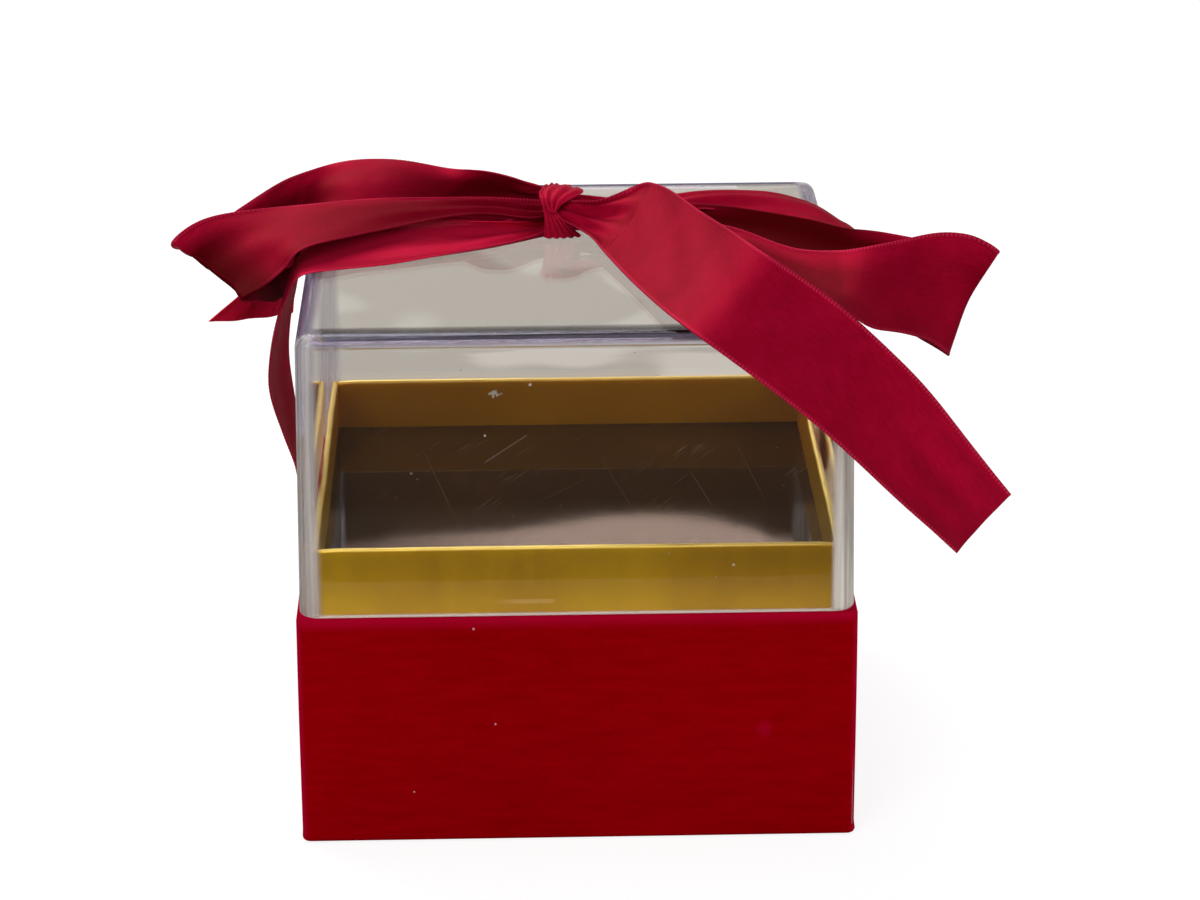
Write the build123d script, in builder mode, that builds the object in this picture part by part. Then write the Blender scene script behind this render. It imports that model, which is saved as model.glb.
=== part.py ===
from build123d import *
from math import atan, degrees
import os

# A square presentation box for chocolates: a velvet-covered board base, a gold card tray that lifts
# out, and a clear moulded lid tied with a satin ribbon. Millimetres, +Z up, front towards -Y.
# The origin is the centre of the underside.

os.makedirs("parts", exist_ok=True)

# Base
base_side = 120.0
base_height = 52.2
board = 2.0
velvet = 0.7
velvet_corner_radius = 1.5
velvet_rim_radius = 0.5
velvet_turn_in = 15.0
velvet_hem = 12.0
bottom_paper = 0.3
bottom_paper_inset = 4.0
floor_lining = 0.4
stay_leg = 14.0
stay_paper = 0.3

# Tray
tray_rise = 14.9
tray_skirt = 6.2
tray_wall = 1.4
tray_fold_radius = 0.5
tray_corner_radius = 1.2
tray_recess = 11.7
tray_board = 1.2
tray_sheet = 0.3
tray_gap = 0.3
flap_card = 0.4
flap_leg = 7.0
rest_strip = 2.0

# Lid
lid_height = 62.3
lid_wall = 2.0
lid_ledge = 0.8
lid_lean = 0.8
lid_corner_radius = 4.2
lid_edge_radius = 3.0
lid_inner_corner_radius = 2.2
lid_inner_edge_radius = 1.0

# Ribbon and bow
ribbon_width = 25.0
ribbon_thickness = 0.5
ribbon_gap = 0.2
knot_end_inset = 0.7
knot_corner_radius = 3.0

# The knot's size, as shares of the ribbon's width
knot_length_share = 0.36
knot_depth_share = 0.72
knot_height_share = 0.36

# The knot's place on the lid, as shares of half the lid's top
knot_along_share = -0.034
knot_across_share = 0.342

# How far a ribbon's section bows across its width, as a share of that width
crown_share = 0.05

# Sections made in each gap between two stations of a ribbon
ribbon_steps = 3

# Worked out from the sizes above
base_half = base_side / 2
board_half = base_half - velvet
cavity_half = board_half - board
mouth_half = cavity_half - velvet
base_bottom = bottom_paper + velvet
board_top = base_height - velvet
floor_top = base_bottom + board
lining_top = floor_top + floor_lining
turn_in_bottom = base_height - velvet_turn_in

tray_half = mouth_half - tray_gap
tray_inner_half = tray_half - tray_wall
tray_top = base_height + tray_rise
tray_bottom = base_height - tray_skirt
tray_floor_top = tray_top - tray_recess
tray_board_top = tray_floor_top - tray_sheet
tray_board_bottom = tray_board_top - tray_board

lid_rim_half = base_half - lid_ledge
lid_top_half = lid_rim_half - lid_lean
lid_top = base_height + lid_height
lid_draft = degrees(atan(lid_lean / lid_height))

ribbon_rest = lid_top + ribbon_gap + ribbon_thickness / 2
knot_length = knot_length_share * ribbon_width
knot_depth = knot_depth_share * ribbon_width
knot_height = knot_height_share * ribbon_width
knot_along = knot_along_share * lid_top_half
knot_across = knot_across_share * lid_top_half


def finish(builder, name):
    """Labels a finished piece and writes it under the same name."""
    builder.part.label = name
    export_step(builder.part, "parts/" + name + ".step")


def square_ring(outer_half, inner_half):
    """A flat square frame, added to the sketch that is open."""
    Rectangle(2 * outer_half, 2 * outer_half)
    Rectangle(2 * inner_half, 2 * inner_half, mode=Mode.SUBTRACT)


# Rigid base: four greyboard walls round a floor board
for side, name in ((-1, "base_wall_front"), (1, "base_wall_back")):
    with BuildPart() as base_wall:
        with BuildSketch(Plane.XY.offset(base_bottom)):
            with Locations((0, side * (board_half - board / 2))):
                Rectangle(2 * board_half, board)
        extrude(amount=board_top - base_bottom)
    finish(base_wall, name)

for side, name in ((-1, "base_wall_left"), (1, "base_wall_right")):
    with BuildPart() as base_wall:
        with BuildSketch(Plane.XY.offset(base_bottom)):
            with Locations((side * (board_half - board / 2), 0)):
                Rectangle(board, 2 * cavity_half)
        extrude(amount=board_top - base_bottom)
    finish(base_wall, name)

with BuildPart() as base_floor_board:
    with BuildSketch(Plane.XY.offset(base_bottom)):
        Rectangle(2 * cavity_half, 2 * cavity_half)
    extrude(amount=board)
finish(base_floor_board, "base_floor_board")

# Paper stays glued into the four inside corners, below the velvet that is turned in
with BuildPart() as base_corner_stays:
    with BuildSketch(Plane.XY.offset(floor_top)):
        for x_side in (-1, 1):
            for y_side in (-1, 1):
                leg_middle = cavity_half - stay_leg / 2
                paper_middle = cavity_half - stay_paper / 2
                with Locations((x_side * leg_middle, y_side * paper_middle)):
                    Rectangle(stay_leg, stay_paper)
                with Locations((x_side * paper_middle, y_side * leg_middle)):
                    Rectangle(stay_paper, stay_leg)
    extrude(amount=turn_in_bottom - floor_top)
finish(base_corner_stays, "base_corner_stays")

# Velvet skin: down the outside, over the rim, turned in and hemmed under the floor
with BuildPart() as velvet_wrap:
    with BuildSketch(Plane.XY.offset(bottom_paper)):
        RectangleRounded(base_side, base_side, velvet_corner_radius)
        Rectangle(2 * board_half, 2 * board_half, mode=Mode.SUBTRACT)
    extrude(amount=base_height - bottom_paper)
    rim_edges = velvet_wrap.edges().group_by(Axis.Z)[-1]
    skin_middle = board_half + velvet / 2
    outer_rim_edges = rim_edges.filter_by(
        lambda edge: max(abs(edge.center().X), abs(edge.center().Y)) > skin_middle)
    fillet(outer_rim_edges, velvet_rim_radius)
    with BuildSketch(Plane.XY.offset(bottom_paper)):
        square_ring(board_half, board_half - velvet_hem)
    extrude(amount=velvet)
    with BuildSketch(Plane.XY.offset(board_top)):
        square_ring(board_half, mouth_half)
    extrude(amount=velvet)
    with BuildSketch(Plane.XY.offset(turn_in_bottom)):
        square_ring(cavity_half, mouth_half)
    extrude(amount=velvet_turn_in)
finish(velvet_wrap, "velvet_wrap")

with BuildPart() as base_bottom_paper:
    with BuildSketch():
        Rectangle(2 * (base_half - bottom_paper_inset), 2 * (base_half - bottom_paper_inset))
    extrude(amount=bottom_paper)
finish(base_bottom_paper, "base_bottom_paper")

with BuildPart() as base_floor_lining:
    with BuildSketch(Plane.XY.offset(floor_top)):
        Rectangle(2 * mouth_half, 2 * mouth_half)
    extrude(amount=floor_lining)
finish(base_floor_lining, "base_floor_lining")

# Four board strips stand on the floor lining and carry the tray's walls
for side, name in ((-1, "tray_rest_front"), (1, "tray_rest_back")):
    with BuildPart() as tray_rest:
        with BuildSketch(Plane.XY.offset(lining_top)):
            with Locations((0, side * (mouth_half - rest_strip / 2))):
                Rectangle(2 * mouth_half, rest_strip)
        extrude(amount=tray_bottom - lining_top)
    finish(tray_rest, name)

for side, name in ((-1, "tray_rest_left"), (1, "tray_rest_right")):
    with BuildPart() as tray_rest:
        with BuildSketch(Plane.XY.offset(lining_top)):
            with Locations((side * (mouth_half - rest_strip / 2), 0)):
                Rectangle(rest_strip, 2 * (mouth_half - rest_strip))
        extrude(amount=tray_bottom - lining_top)
    finish(tray_rest, name)

# Gold card tray: the side walls run full depth, the front and back walls stand between them
for side, name in ((-1, "tray_wall_left"), (1, "tray_wall_right")):
    with BuildPart() as tray_side:
        with BuildSketch(Plane.XY.offset(tray_bottom)):
            with Locations((side * (tray_half - tray_wall / 2), 0)):
                side_section = Rectangle(tray_wall, 2 * tray_half)
            outer_corners = side_section.vertices().group_by(Axis.X)[0 if side < 0 else -1]
            fillet(outer_corners, tray_corner_radius)
        extrude(amount=tray_top - tray_bottom)
        fillet(tray_side.edges().group_by(Axis.Z)[-1].filter_by(Axis.Y), tray_fold_radius)
    finish(tray_side, name)

for side, name in ((-1, "tray_wall_front"), (1, "tray_wall_back")):
    with BuildPart() as tray_end:
        with BuildSketch(Plane.XY.offset(tray_bottom)):
            with Locations((0, side * (tray_half - tray_wall / 2))):
                Rectangle(2 * tray_inner_half, tray_wall)
        extrude(amount=tray_top - tray_bottom)
        fillet(tray_end.edges().group_by(Axis.Z)[-1].filter_by(Axis.X), tray_fold_radius)
    finish(tray_end, name)

with BuildPart() as tray_floor_board:
    with BuildSketch(Plane.XY.offset(tray_board_bottom)):
        Rectangle(2 * tray_inner_half, 2 * tray_inner_half)
    extrude(amount=tray_board)
finish(tray_floor_board, "tray_floor_board")

with BuildPart() as tray_floor_sheet:
    with BuildSketch(Plane.XY.offset(tray_board_top)):
        Rectangle(2 * tray_inner_half, 2 * tray_inner_half)
    extrude(amount=tray_sheet)
finish(tray_floor_sheet, "tray_floor_sheet")

# Four folded flaps under the tray's floor, glued to it and to the walls
flap_length = 2 * (tray_inner_half - flap_leg)
quarter_turn = 90
with BuildPart() as tray_floor_flaps:
    for turn in range(4):
        flap_plane = Plane.XY.offset(tray_board_bottom).rotated((0, 0, quarter_turn * turn))
        with BuildSketch(flap_plane):
            with Locations((0, tray_inner_half - flap_leg / 2)):
                Rectangle(flap_length, flap_leg)
        extrude(amount=-flap_card)
        with BuildSketch(flap_plane):
            with Locations((0, tray_inner_half - flap_card / 2)):
                Rectangle(flap_length, flap_card)
        extrude(amount=-flap_leg)
finish(tray_floor_flaps, "tray_floor_flaps")

# Clear moulded lid: one shell with a slight draft, open below, standing on the base's rim
with BuildPart() as lid_shell:
    with BuildSketch(Plane.XY.offset(base_height)):
        RectangleRounded(2 * lid_rim_half, 2 * lid_rim_half, lid_corner_radius)
    extrude(amount=lid_height, taper=lid_draft)
    fillet(lid_shell.edges().group_by(Axis.Z)[-1], lid_edge_radius)
    hollow_side = 2 * (lid_rim_half - lid_wall)
    with BuildSketch(Plane.XY.offset(base_height)):
        RectangleRounded(hollow_side, hollow_side, lid_inner_corner_radius)
    extrude(amount=lid_height - lid_wall, taper=lid_draft, mode=Mode.SUBTRACT)
    lid_ceiling = lid_shell.faces().filter_by(Plane.XY).sort_by(Axis.Z)[-2]
    fillet(lid_ceiling.edges(), lid_inner_edge_radius)
finish(lid_shell, "lid_shell")


def at_knot(side, across_share, rise_share):
    """A point on the knot's left (-1) or right (1) end, in shares of the knot's depth and height."""
    return Vector(knot_along + side * knot_length / 2,
                  knot_across + across_share * knot_depth,
                  ribbon_rest + rise_share * knot_height)


def over_lid(along_share, across_share, rise_share):
    """A point over or beyond the lid's top, in shares of half its top and of the ribbon's width."""
    return Vector(along_share * lid_top_half,
                  across_share * lid_top_half,
                  ribbon_rest + rise_share * ribbon_width)


def down_side(side, across_share, fall_share, out_share):
    """A point beside the lid's left (-1) or right (1) wall.

    Its place is in shares of half the top, of the lid's height and of the ribbon's width.
    """
    wall_half = lid_top_half + lid_lean * fall_share
    stand_off = ribbon_gap + ribbon_thickness / 2 + out_share * ribbon_width
    return Vector(side * (wall_half + stand_off),
                  across_share * lid_top_half,
                  lid_top - fall_share * lid_height)


def smooth_stations(stations):
    """The stations with ribbon_steps sections to each gap, both edges on cubics through their points.

    A point's slope is the way from its neighbour before to its neighbour after, over the way's length.
    """
    middles = [(back + front) / 2 for back, front in stations]
    reach = [0.0]
    for before, after in zip(middles, middles[1:]):
        reach.append(reach[-1] + (after - before).length)
    last = len(stations) - 1

    def slope(edge, index):
        low, high = max(index - 1, 0), min(index + 1, last)
        return (stations[high][edge] - stations[low][edge]) / (reach[high] - reach[low])

    smooth = []
    for index in range(last):
        gap = reach[index + 1] - reach[index]
        for step in range(ribbon_steps):
            share = step / ribbon_steps
            ease = share * share * (3 - 2 * share)
            leave, arrive = share * (1 - share) ** 2, share * share * (share - 1)
            smooth.append(tuple(
                stations[index][edge] * (1 - ease) + stations[index + 1][edge] * ease
                + slope(edge, index) * (gap * leave) + slope(edge, index + 1) * (gap * arrive)
                for edge in (0, 1)))
    return smooth + [stations[last]]


def ribbon_sections(stations, side, way_out):
    """Thin bowed sections across the ribbon, one for each pair of back and front edge points.

    The ribbon starts square to the knot's left (-1) or right (1) face, and way_out is its direction
    at its last station. Its sections bow outwards: upwards on the lid and away from a loop's inside.
    """
    stations = smooth_stations(stations)
    middles = [(back + front) / 2 for back, front in stations]
    sections = []
    for index, (back, front) in enumerate(stations):
        if index == 0:
            way = Vector(side, 0, 0)
        elif index == len(stations) - 1:
            way = Vector(*way_out)
        else:
            before = (middles[index] - middles[index - 1]).normalized()
            after = (middles[index + 1] - middles[index]).normalized()
            way = before + after
        across = back - front
        width = across.length
        way = way - across * (way.dot(across) / across.dot(across))
        half, skin, crown = width / 2, ribbon_thickness / 2, side * crown_share * width
        with BuildSketch(Plane(middles[index], x_dir=across, z_dir=way)) as section:
            with BuildLine():
                ThreePointArc((-half, skin), (0, crown + skin), (half, skin))
                Line((half, skin), (half, -skin))
                ThreePointArc((half, -skin), (0, crown - skin), (-half, -skin))
                Line((-half, -skin), (-half, skin))
            make_face()
        sections.append(section.sketch.face())
    return sections


# Knot: a pillow of wrapped ribbon with flat end faces, which the six stretches of ribbon meet
with BuildPart() as bow_knot:
    knot_middle = ribbon_rest - ribbon_thickness / 2 + knot_height / 2
    for end in (-1, 0, 1):
        inset = knot_end_inset * abs(end)
        section_middle = (knot_along + end * knot_length / 2, knot_across, knot_middle)
        with BuildSketch(Plane(section_middle, x_dir=(0, 1, 0), z_dir=(1, 0, 0))):
            RectangleRounded(knot_depth - 2 * inset, knot_height - 2 * inset, knot_corner_radius)
    loft()
finish(bow_knot, "bow_knot")

# The ribbon's band: from the knot over each side edge of the lid, bowed out and stuck above the rim
band_left = [
    (at_knot(-1, 0.06, 0.14), at_knot(-1, -0.46, 0.10)),
    (over_lid(-0.34, 0.36, 0.03), over_lid(-0.34, 0.04, 0.01)),
    (over_lid(-0.64, 0.30, 0.01), over_lid(-0.64, -0.11, 0.00)),
    (over_lid(-0.90, 0.22, 0.00), over_lid(-0.90, -0.20, 0.00)),
    (over_lid(-1.01, 0.21, -0.04), over_lid(-1.01, -0.21, -0.04)),
    (down_side(-1, 0.21, 0.05, 0.05), down_side(-1, -0.21, 0.05, 0.09)),
    (down_side(-1, 0.21, 0.17, 0.10), down_side(-1, -0.21, 0.17, 0.21)),
    (down_side(-1, 0.21, 0.30, 0.16), down_side(-1, -0.21, 0.30, 0.28)),
    (down_side(-1, 0.21, 0.43, 0.18), down_side(-1, -0.21, 0.43, 0.29)),
    (down_side(-1, 0.21, 0.59, 0.13), down_side(-1, -0.21, 0.59, 0.19)),
    (down_side(-1, 0.21, 0.75, 0.06), down_side(-1, -0.21, 0.75, 0.07)),
    (down_side(-1, 0.21, 0.94, 0.00), down_side(-1, -0.21, 0.94, 0.00)),
]
band_right = [
    (at_knot(1, 0.28, 0.23), at_knot(1, -0.33, 0.12)),
    (over_lid(0.48, 0.53, 0.18), over_lid(0.48, 0.14, 0.06)),
    (over_lid(0.75, 0.58, 0.11), over_lid(0.75, 0.17, 0.03)),
    (over_lid(0.92, 0.55, 0.03), over_lid(0.92, 0.14, 0.01)),
    (over_lid(1.01, 0.53, -0.04), over_lid(1.01, 0.13, -0.04)),
    (down_side(1, 0.53, 0.06, 0.06), down_side(1, 0.12, 0.06, 0.06)),
    (down_side(1, 0.53, 0.23, 0.05), down_side(1, 0.12, 0.23, 0.05)),
    (down_side(1, 0.53, 0.55, 0.03), down_side(1, 0.12, 0.55, 0.03)),
    (down_side(1, 0.53, 0.94, 0.00), down_side(1, 0.12, 0.94, 0.00)),
]
with BuildPart() as ribbon_band_left:
    loft(ribbon_sections(band_left, -1, (0, 0, -1)), ruled=True)
finish(ribbon_band_left, "ribbon_band_left")

with BuildPart() as ribbon_band_right:
    loft(ribbon_sections(band_right, 1, (0, 0, -1)), ruled=True)
finish(ribbon_band_right, "ribbon_band_right")

# Left loop: out along its front layer, folded at the drooping tip and back along its raised rear layer
loop_left = [
    (at_knot(-1, 0.17, 0.61), at_knot(-1, -0.36, 0.44)),
    (over_lid(-0.34, 0.37, 0.27), over_lid(-0.34, 0.26, 0.18)),
    (over_lid(-0.65, 0.34, 0.28), over_lid(-0.65, 0.15, 0.16)),
    (over_lid(-0.92, 0.32, 0.27), over_lid(-0.89, 0.00, 0.15)),
    (over_lid(-1.15, 0.27, 0.26), over_lid(-1.02, -0.11, 0.12)),
    (over_lid(-1.35, 0.12, 0.29), over_lid(-1.08, -0.13, -0.04)),
    (over_lid(-1.45, 0.02, 0.25), over_lid(-1.16, -0.22, -0.15)),
    (over_lid(-1.51, -0.03, 0.15), over_lid(-1.23, -0.29, -0.19)),
    (over_lid(-1.48, 0.09, 0.01), over_lid(-1.19, -0.15, -0.30)),
    (over_lid(-1.33, 0.27, 0.15), over_lid(-1.06, -0.03, 0.01)),
    (over_lid(-1.13, 0.48, 0.34), over_lid(-0.92, 0.15, 0.06)),
    (over_lid(-0.89, 0.58, 0.48), over_lid(-0.74, 0.27, 0.08)),
    (over_lid(-0.54, 0.62, 0.43), over_lid(-0.48, 0.33, 0.12)),
    (over_lid(-0.34, 0.56, 0.38), over_lid(-0.31, 0.36, 0.19)),
    (at_knot(-1, 0.39, 0.85), at_knot(-1, -0.06, 0.74)),
]
with BuildPart() as bow_loop_left:
    loft(ribbon_sections(loop_left, -1, (1, 0, 0)), ruled=True)
finish(bow_loop_left, "bow_loop_left")

# Right loop: its front layer leans back and runs out past the lid, its rear layer returns behind it
loop_right = [
    (at_knot(1, 0.11, 0.49), at_knot(1, -0.39, 0.34)),
    (over_lid(0.34, 0.21, 0.19), over_lid(0.29, 0.00, 0.10)),
    (over_lid(0.63, 0.01, 0.21), over_lid(0.57, -0.26, 0.08)),
    (over_lid(0.88, -0.27, 0.16), over_lid(0.84, -0.52, 0.07)),
    (over_lid(1.01, -0.23, 0.15), over_lid(1.00, -0.60, 0.04)),
    (over_lid(1.11, -0.22, 0.15), over_lid(1.08, -0.61, -0.22)),
    (over_lid(1.23, -0.26, 0.25), over_lid(1.22, -0.58, -0.35)),
    (over_lid(1.39, -0.31, 0.37), over_lid(1.32, -0.53, -0.47)),
    (over_lid(1.53, -0.34, 0.32), over_lid(1.38, -0.50, -0.60)),
    (over_lid(1.60, -0.36, 0.19), over_lid(1.40, -0.48, -0.66)),
    (over_lid(1.55, -0.24, 0.18), over_lid(1.37, -0.36, -0.68)),
    (over_lid(1.38, -0.07, 0.08), over_lid(1.23, -0.27, -0.51)),
    (over_lid(1.19, 0.03, 0.10), over_lid(1.08, -0.14, 0.02)),
    (over_lid(0.96, 0.07, 0.14), over_lid(0.89, -0.14, 0.09)),
    (over_lid(0.73, 0.18, 0.19), over_lid(0.65, 0.02, 0.15)),
    (over_lid(0.52, 0.25, 0.24), over_lid(0.38, 0.14, 0.22)),
    (at_knot(1, 0.39, 0.67), at_knot(1, -0.08, 0.63)),
]
with BuildPart() as bow_loop_right:
    loft(ribbon_sections(loop_right, 1, (-1, 0, 0)), ruled=True)
finish(bow_loop_right, "bow_loop_right")

# Front tail: up over a crest beside the knot, across the lid's front edge and out past its right corner
tail_front = [
    (at_knot(1, 0.28, 0.87), at_knot(1, -0.39, 0.67)),
    (over_lid(0.18, 0.38, 0.32), over_lid(0.08, 0.09, 0.13)),
    (over_lid(0.29, 0.31, 0.44), over_lid(0.11, -0.02, 0.05)),
    (over_lid(0.48, -0.22, 0.52), over_lid(0.25, -0.56, 0.04)),
    (over_lid(0.67, -0.77, 0.54), over_lid(0.41, -1.04, 0.03)),
    (over_lid(0.87, -0.94, 0.31), over_lid(0.64, -1.22, -0.26)),
    (over_lid(1.04, -1.04, 0.03), over_lid(0.80, -1.33, -0.49)),
    (over_lid(1.22, -1.11, -0.36), over_lid(0.98, -1.40, -0.84)),
    (over_lid(1.39, -1.15, -0.86), over_lid(1.16, -1.46, -1.22)),
    (over_lid(1.55, -1.16, -1.34), over_lid(1.32, -1.51, -1.54)),
]
with BuildPart() as bow_tail_front:
    loft(ribbon_sections(tail_front, 1, (0.6, -0.2, -0.7)), ruled=True)
finish(bow_tail_front, "bow_tail_front")

# Left tail: flat under the left loop, over the lid's left edge and flared out with its cut end down
tail_left = [
    (at_knot(-1, 0.33, 0.34), at_knot(-1, -0.19, 0.28)),
    (over_lid(-0.43, 0.62, 0.06), over_lid(-0.43, 0.29, 0.08)),
    (over_lid(-0.77, 0.67, 0.02), over_lid(-0.77, 0.27, 0.05)),
    (over_lid(-0.96, 0.65, 0.01), over_lid(-0.96, 0.24, 0.04)),
    (over_lid(-1.05, 0.62, -0.10), over_lid(-1.08, 0.23, -0.08)),
    (over_lid(-1.07, 0.51, -0.48), over_lid(-1.23, 0.16, -0.40)),
    (over_lid(-1.08, 0.39, -0.82), over_lid(-1.39, 0.14, -0.71)),
]
with BuildPart() as bow_tail_left:
    loft(ribbon_sections(tail_left, -1, (-0.3, -0.3, -0.9)), ruled=True)
finish(bow_tail_left, "bow_tail_left")
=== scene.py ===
import math

import bmesh
import bpy
import numpy as np
from mathutils import Matrix, Vector


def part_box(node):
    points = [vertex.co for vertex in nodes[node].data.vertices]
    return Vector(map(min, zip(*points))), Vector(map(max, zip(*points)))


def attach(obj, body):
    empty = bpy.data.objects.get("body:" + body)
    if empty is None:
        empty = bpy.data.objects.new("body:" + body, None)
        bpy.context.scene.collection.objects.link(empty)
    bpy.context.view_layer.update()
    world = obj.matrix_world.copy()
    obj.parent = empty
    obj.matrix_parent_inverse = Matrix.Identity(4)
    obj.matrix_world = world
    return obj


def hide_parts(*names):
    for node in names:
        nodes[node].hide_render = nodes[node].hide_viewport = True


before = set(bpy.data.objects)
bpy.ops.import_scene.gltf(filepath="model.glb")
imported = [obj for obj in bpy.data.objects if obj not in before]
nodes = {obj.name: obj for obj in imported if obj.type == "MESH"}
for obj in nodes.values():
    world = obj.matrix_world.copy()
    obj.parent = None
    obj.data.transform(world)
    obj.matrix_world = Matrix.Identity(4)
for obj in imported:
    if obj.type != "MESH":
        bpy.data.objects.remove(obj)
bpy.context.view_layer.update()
MM = 0.001

# Studio: the camera stands where the photograph was taken, 0.9 m off and looking a little down. The
# camera sees the tabletop nearly white. Glossy and clear things see it beige, lighter in patches and
# to the right, darker in front of the box, and pale far to either side.
EYE = Vector((-12.8, -834.5, 367.75)) * MM
TURN, DIP, ROLL = math.radians(-1.315), math.radians(19.74), math.radians(-0.33)
FOCAL_PX, FRAME_WIDTH_PX, SENSOR = 3933.0, 1200.0, 36.0
NEAREST, FARTHEST = 0.01, 50.0
TABLE_SIZE = 9.0
TABLE_SEEN, TABLE_GLOW, TABLE_LIT = (0.24, 0.24, 0.24, 1.0), 0.85, (0.72, 0.70, 0.67, 1.0)
TABLE_BEHIND, TABLE_BRIGHTER = (0.50, 0.465, 0.41, 1.0), (0.66, 0.62, 0.555, 1.0)
TABLE_IN_FRONT, TABLE_ASIDE = (0.13, 0.115, 0.09, 1.0), (0.62, 0.60, 0.58, 1.0)
PATCHES, PATCH_LEAN, PATCH_FADE = 17.0, 1.4, (0.47, 0.54)
FRONT_FADE, ASIDE_FADE = (-0.14, 0.12), (0.16, 0.30)

level = Vector((math.cos(TURN), math.sin(TURN), 0))
ahead = Vector((-math.sin(TURN), math.cos(TURN), 0)) * math.cos(DIP) - Vector((0, 0, math.sin(DIP)))
up = level.cross(ahead)
across_frame = level * math.cos(ROLL) + up * math.sin(ROLL)
up_frame = up * math.cos(ROLL) - level * math.sin(ROLL)
lens = bpy.data.cameras.new("camera")
lens.sensor_width = SENSOR
lens.lens = FOCAL_PX * SENSOR / FRAME_WIDTH_PX
lens.clip_start, lens.clip_end = NEAREST, FARTHEST
camera = bpy.data.objects.new("camera", lens)
bpy.context.scene.collection.objects.link(camera)
camera.matrix_world = Matrix((
    (across_frame.x, up_frame.x, -ahead.x, EYE.x),
    (across_frame.y, up_frame.y, -ahead.y, EYE.y),
    (across_frame.z, up_frame.z, -ahead.z, EYE.z),
    (0, 0, 0, 1)))
bpy.context.scene.camera = camera
bpy.context.scene.view_settings.view_transform = "Standard"


class Wire:
    """An output socket in a node tree. Sums on it add Math nodes, and node() adds any other kind."""

    def __init__(self, tree, socket=None):
        self.tree, self.socket = tree, socket

    def node(self, kind, settings, values, out=0):
        """A new node: its settings first, a ramp's stops among them, then its sockets' values or links."""
        made = self.tree.nodes.new(kind)
        for name, value in settings.items():
            if name == "stops":
                ramp = made.color_ramp.elements
                while len(ramp) < len(value):
                    ramp.new(1.0)
                for element, (place, colour) in zip(ramp, value):
                    element.position, element.color = place, (*colour, 1.0)
            else:
                setattr(made, name, value)
        for name, value in values.items():
            socket = made.inputs[name]
            if isinstance(value, Wire):
                self.tree.links.new(value.socket, socket)
            else:
                socket.default_value = value
        return Wire(self.tree, made.outputs[out])

    def into(self, node, socket):
        """Links this to a socket of the node that has this name."""
        self.tree.links.new(self.socket, self.tree.nodes[node].inputs[socket])

    def math(self, operation, *others):
        """This value in a Math node, with the others after it."""
        return self.node("ShaderNodeMath", {"operation": operation}, dict(enumerate((self, *others))))

    def __add__(self, other):
        return self.math("ADD", other)

    def __sub__(self, other):
        return self.math("SUBTRACT", other)

    def __rsub__(self, other):
        return self.node("ShaderNodeMath", {"operation": "SUBTRACT"}, {0: other, 1: self})

    def __mul__(self, other):
        return self.math("MULTIPLY", other)

    def __truediv__(self, other):
        return self.math("DIVIDE", other)

    def __abs__(self):
        return self.math("ABSOLUTE")

    __radd__, __rmul__ = __add__, __mul__

    def rise(self, low, high):
        """0 below low, 1 above high, smooth between. It falls instead where low is above high."""
        return self.node("ShaderNodeMapRange", {"interpolation_type": "SMOOTHSTEP"},
                         {"Value": self, "From Min": low, "From Max": high})

    def near(self, edge, far, close):
        """0 as far below an edge as far says, 1 as close to it as close says, smooth between."""
        return self.rise(edge - far, edge - close)

    def blend(self, colour_a, colour_b):
        """colour_a where this mask is 0, colour_b where it is 1."""
        return self.node("ShaderNodeMix", {"data_type": "RGBA"},
                         {0: self, 6: colour_a, 7: colour_b}, out=2)

    def parts(self):
        """The x, y and z of a vector."""
        split = self.node("ShaderNodeSeparateXYZ", {}, {"Vector": self})
        return [Wire(self.tree, socket) for socket in split.socket.node.outputs]

    def stretched(self, x, y, z):
        """This vector, longer along x, y and z by these factors, so that a pattern on it is finer."""
        return self.node("ShaderNodeVectorMath", {"operation": "MULTIPLY"}, {0: self, 1: (x, y, z)})

    def distance(self, point):
        """How far this vector is from a point."""
        return self.node("ShaderNodeVectorMath", {"operation": "DISTANCE"}, {0: self, 1: point}, out=1)

    def noise(self, scale, detail=2.0, roughness=0.5):
        """Noise of this many cells a metre, on this vector."""
        return self.node("ShaderNodeTexNoise", {}, {"Vector": self, "Scale": scale, "Detail": detail,
                                                    "Roughness": roughness})

    def specks(self, scale, edge, core):
        """1 within core of scattered points and 0 past edge, in cells, with this many cells a metre."""
        cells = self.node("ShaderNodeTexVoronoi", {}, {"Vector": self, "Scale": scale, "Randomness": 1.0})
        return cells.rise(edge, core)

    def bump(self, distance, strength=1.0):
        """A normal that leans with this height, whose full range is this far in metres."""
        return self.node("ShaderNodeBump", {}, {
            "Height": self, "Distance": distance, "Strength": strength})


def places(start):
    """The object coordinates as a wire."""
    return start.node("ShaderNodeTexCoord", {}, {}, out=3)


def by_ray(start, seen_colour, lit_colour, mirrored_colour):
    """(a colour, a mask that is 1 for the camera).

    The colour is the first one for the camera, the last one in glossy and clear things, and the
    middle one for the light that falls on the box.
    """
    rays = start.node("ShaderNodeLightPath", {}, {}).socket.node.outputs
    seen, glossy, through = (Wire(start.tree, rays[kind]) for kind in (
        "Is Camera Ray", "Is Glossy Ray", "Is Transmission Ray"))
    shade = glossy.math("MAXIMUM", through).blend(lit_colour, mirrored_colour)
    return seen.blend(shade, seen_colour), seen


def dress(piece, material):
    """The piece wears this one material."""
    piece.data.materials.clear()
    piece.data.materials.append(material)
    return piece


def mesh_piece(name, points, faces, smooth=True):
    """A mesh object at the origin from an array of points and a list of faces."""
    mesh = bpy.data.meshes.new(name)
    mesh.from_pydata(points.reshape(-1, 3).tolist(), [], faces)
    mesh.validate()
    if smooth:
        mesh.shade_smooth()
    piece = bpy.data.objects.new(name, mesh)
    bpy.context.scene.collection.objects.link(piece)
    return piece


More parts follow.
